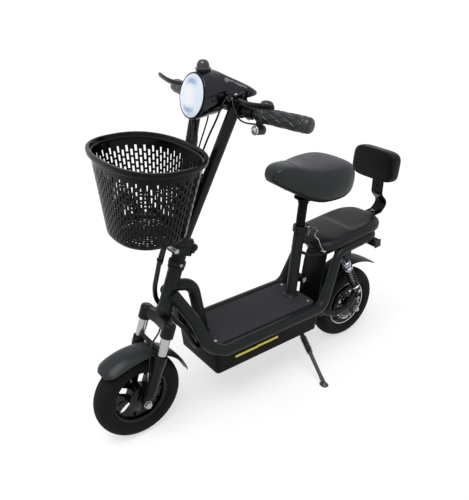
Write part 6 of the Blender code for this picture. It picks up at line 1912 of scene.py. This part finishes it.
SHOCK_FOOT = at(0, 0.781, 0.221)
SHOCK_X = 0.080
ARM_TUBE_RADIUS = 0.0105
axle_plate = [
    (-0.020, 0.0560), (-0.040, 0.0400), (-0.030, 0.0120), (-0.020, -0.0120), (-0.011, -0.0170),
    (0.000, -0.0180), (0.009, -0.0165), (0.014, -0.0120), (0.016, 0.0060), (0.004, 0.0330),
]
foot_nut = [(0.0066, 0), (0.0072, 0.0008), (0.0072, 0.0040), (0.0062, 0.0048), (0.0030, 0.0050)]
arm_parts = [pin(SWING_PIVOT, ACROSS * 0.0700, 0.0130, 0.0010)]
foot_bolts = []
for side in SIDES:
    outward = ACROSS * side
    corners = [
        at(side * 0.0640, 0.618, 0.191), at(side * 0.0780, 0.690, 0.1590),
        at(side * 0.0780, 0.752, 0.1640), at(side * 0.0780, 0.782, 0.2080),
    ]
    eye_foot = SHOCK_FOOT + outward * SHOCK_X
    arm_parts += [
        sweep(arcs(corners, [0.030, 0.030]), ARM_TUBE_RADIUS),
        plate(axle_plate, REAR_AXLE, side * 0.0590, side * 0.0650),
        slab(at(side * 0.0700, 0.771, 0.1645), (0.0220, 0.0180, 0.0240)),
        slab(eye_foot + Vector((-0.0110, 0, -0.0085)), (0.0030, 0.0170, 0.0330)),
        slab(eye_foot + Vector((0.0110, 0, -0.0085)), (0.0030, 0.0170, 0.0330)),
        slab(eye_foot + Vector((0, 0, -0.0215)), (0.0250, 0.0170, 0.0070)),
    ]
    foot_bolts.append(pin(eye_foot, ACROSS * 0.0145, 0.0039))
    foot_bolts.append(lathe(foot_nut, eye_foot + outward * 0.0125, outward, 6))
swing_arm = merged(*arm_parts)
piece(
    "swing_arm_weldment", swing_arm, powder_coat, "rear_arm", "frame_paint", "swing_arm", bevel=0.0010
)
piece("shock_foot_bolts", merged(*foot_bolts), zinc, "rear_arm", "zinc_plate")


# Shocks: a damper with a turned alloy cap on each side, a plated rod with an eye, and a coil
# spring of black enamelled wire between their seats.

# Turned aluminium, bright and faintly ringed by the tool
turned_alloy = coated(
    "turned_aluminium", "#9A9CA0", "#7E8186", 0.20, 1.0, 0.10, metallic=1.0, patch_mm=8
)
# Enamel baked on the spring wire: black and quite glossy
spring_enamel = coated("spring_enamel", "#060707", "#0A0B0B", 0.22, 3.0, 0.02, shine=0.18)
SPRING_TURNS = 7
SPRING_FROM, SPRING_TO = 0.0503, 0.1268
cap_profile = [
    (0.0086, 0.0030), (0.0090, 0.0080), (0.0120, 0.0105), (0.0146, 0.0122), (0.0148, 0.0140),
    (0.0148, 0.0290), (0.0140, 0.0312), (0.0122, 0.0345), (0.0122, 0.0372), (0.0150, 0.0382),
    (0.0158, 0.0390), (0.0158, 0.0470), (0.0150, 0.0474), (0.0072, 0.0476), (0.0072, 0.1080),
    (0.0044, 0.1080), (0.0044, 0.0500),
]
SHOCK_LENGTH = (SHOCK_FOOT - SHOCK_TOP).length
shaft_profile = [
    (0.0038, 0.0740), (0.0038, 0.1290), (0.0150, 0.1294), (0.0158, 0.1300), (0.0158, 0.1340),
    (0.0150, 0.1350), (0.0080, 0.1362), (0.0066, 0.1376), (0.0060, SHOCK_LENGTH - 0.0060),
]


def coiled(start, along, length, first, second, radius, turns):
    """A spring's centre line, drawn with 20 points a turn."""
    steps = 20 * turns
    line = []
    for i in range(steps + 1):
        angle = math.tau * turns * i / steps
        offset = first * math.cos(angle) + second * math.sin(angle)
        line.append(start + along * (length * i / steps) + offset * radius)
    return line


for side, word in SIDES.items():
    outward = ACROSS * side
    top, foot = SHOCK_TOP + outward * SHOCK_X, SHOCK_FOOT + outward * SHOCK_X
    down = (foot - top).normalized()
    cap = merged(lathe(cap_profile, top, down, 48), pin(top, ACROSS * 0.0090, 0.0085))
    piece(
        f"shock_cap_{word}", cap, turned_alloy, f"{word}_shock", "damper_alloy", f"shock_body_{word}"
    )
    shaft = merged(lathe(shaft_profile, top, down, 48), pin(foot, ACROSS * 0.0085, 0.0085))
    piece(
        f"shock_shaft_{word}", shaft, chrome, f"{word}_shock_rod", "chromed_tube", f"shock_rod_{word}"
    )
    spring_line = coiled(
        top + down * SPRING_FROM, down, SPRING_TO - SPRING_FROM, outward,
        outward.cross(down).normalized(), 0.0125, SPRING_TURNS,
    )
    spring = piece(
        f"coil_spring_{word}", sweep(spring_line, 0.0022, 12), spring_enamel, f"{word}_shock",
        "spring_steel", f"shock_spring_{word}",
    )
    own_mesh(spring)


# Side stand: a cast leg with a flat foot, on a pin between the ears of a bracket under the tray,
# with a pull spring from the bracket to the leg.

recoat(powder_coat, "kickstand_bracket")
STAND_PIVOT, STAND_TOE = at(0.0580, 0.5570, 0.1345), at(0.1830, 0.5520, 0)
STAND_AXIS = Vector((0.7340, 0, 0.6790)).normalized()
STAND_LIFT = STAND_AXIS.cross(BACKWARD)
leg_line = STAND_TOE + UPWARD * 0.0060 - STAND_PIVOT
leg_length = leg_line.length
leg_line.normalize()
leg_profile = [
    (0.0066, 0.0130), (0.0076, 0.0170), (0.0076, 0.0700), (0.0092, 0.0720), (0.0092, 0.0770),
    (0.0068, 0.0790), (0.0064, 0.0860), (0.0060, leg_length - 0.0260),
    (0.0068, leg_length - 0.0180), (0.0066, leg_length - 0.0060),
]
foot_pad = banded([
    superellipse(STAND_TOE + UPWARD * z, ACROSS, BACKWARD, half, half * 0.8, 2.4, 40)
    for z, half in (
        (0.0002, 0.0142), (0.0010, 0.0150), (0.0032, 0.0150), (0.0046, 0.0138), (0.0070, 0.0110),
        (0.0110, 0.0070), (0.0130, 0.0050),
    )
])
stand_turn = Matrix((STAND_AXIS, BACKWARD, STAND_LIFT)).transposed()
stand = merged(
    lathe(leg_profile, STAND_PIVOT, leg_line, 32), foot_pad,
    pin(STAND_PIVOT, STAND_AXIS * 0.0030, 0.0090, 0.0005),
    slab(STAND_PIVOT - STAND_LIFT * 0.0100, (0.0060, 0.0150, 0.0200), stand_turn),
)
# Cast steel with a thin grey lacquer that has rubbed down to the metal
stand_steel = coated(
    "rubbed_cast_steel", "#313437", "#4C4F52", 0.34, 1.6, 0.12, metallic=0.6, patch_mm=10
)
piece("stand_leg", stand, stand_steel, "stand", "frame_paint", "kickstand", bevel=0.0006)
pull_line = coiled(STAND_PIVOT + leg_line * 0.0205, leg_line, 0.0485, *square_to(leg_line), 0.0096, 11)
piece("stand_spring", sweep(pull_line, 0.0015, 10), spring_enamel, "stand", "spring_steel")
pin_head = screw_head(STAND_PIVOT + STAND_AXIS * 0.0086, STAND_AXIS, 0.0062, 0.0034)
piece("stand_pin_head", pin_head, zinc, "frame", "zinc_plate")


low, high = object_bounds()
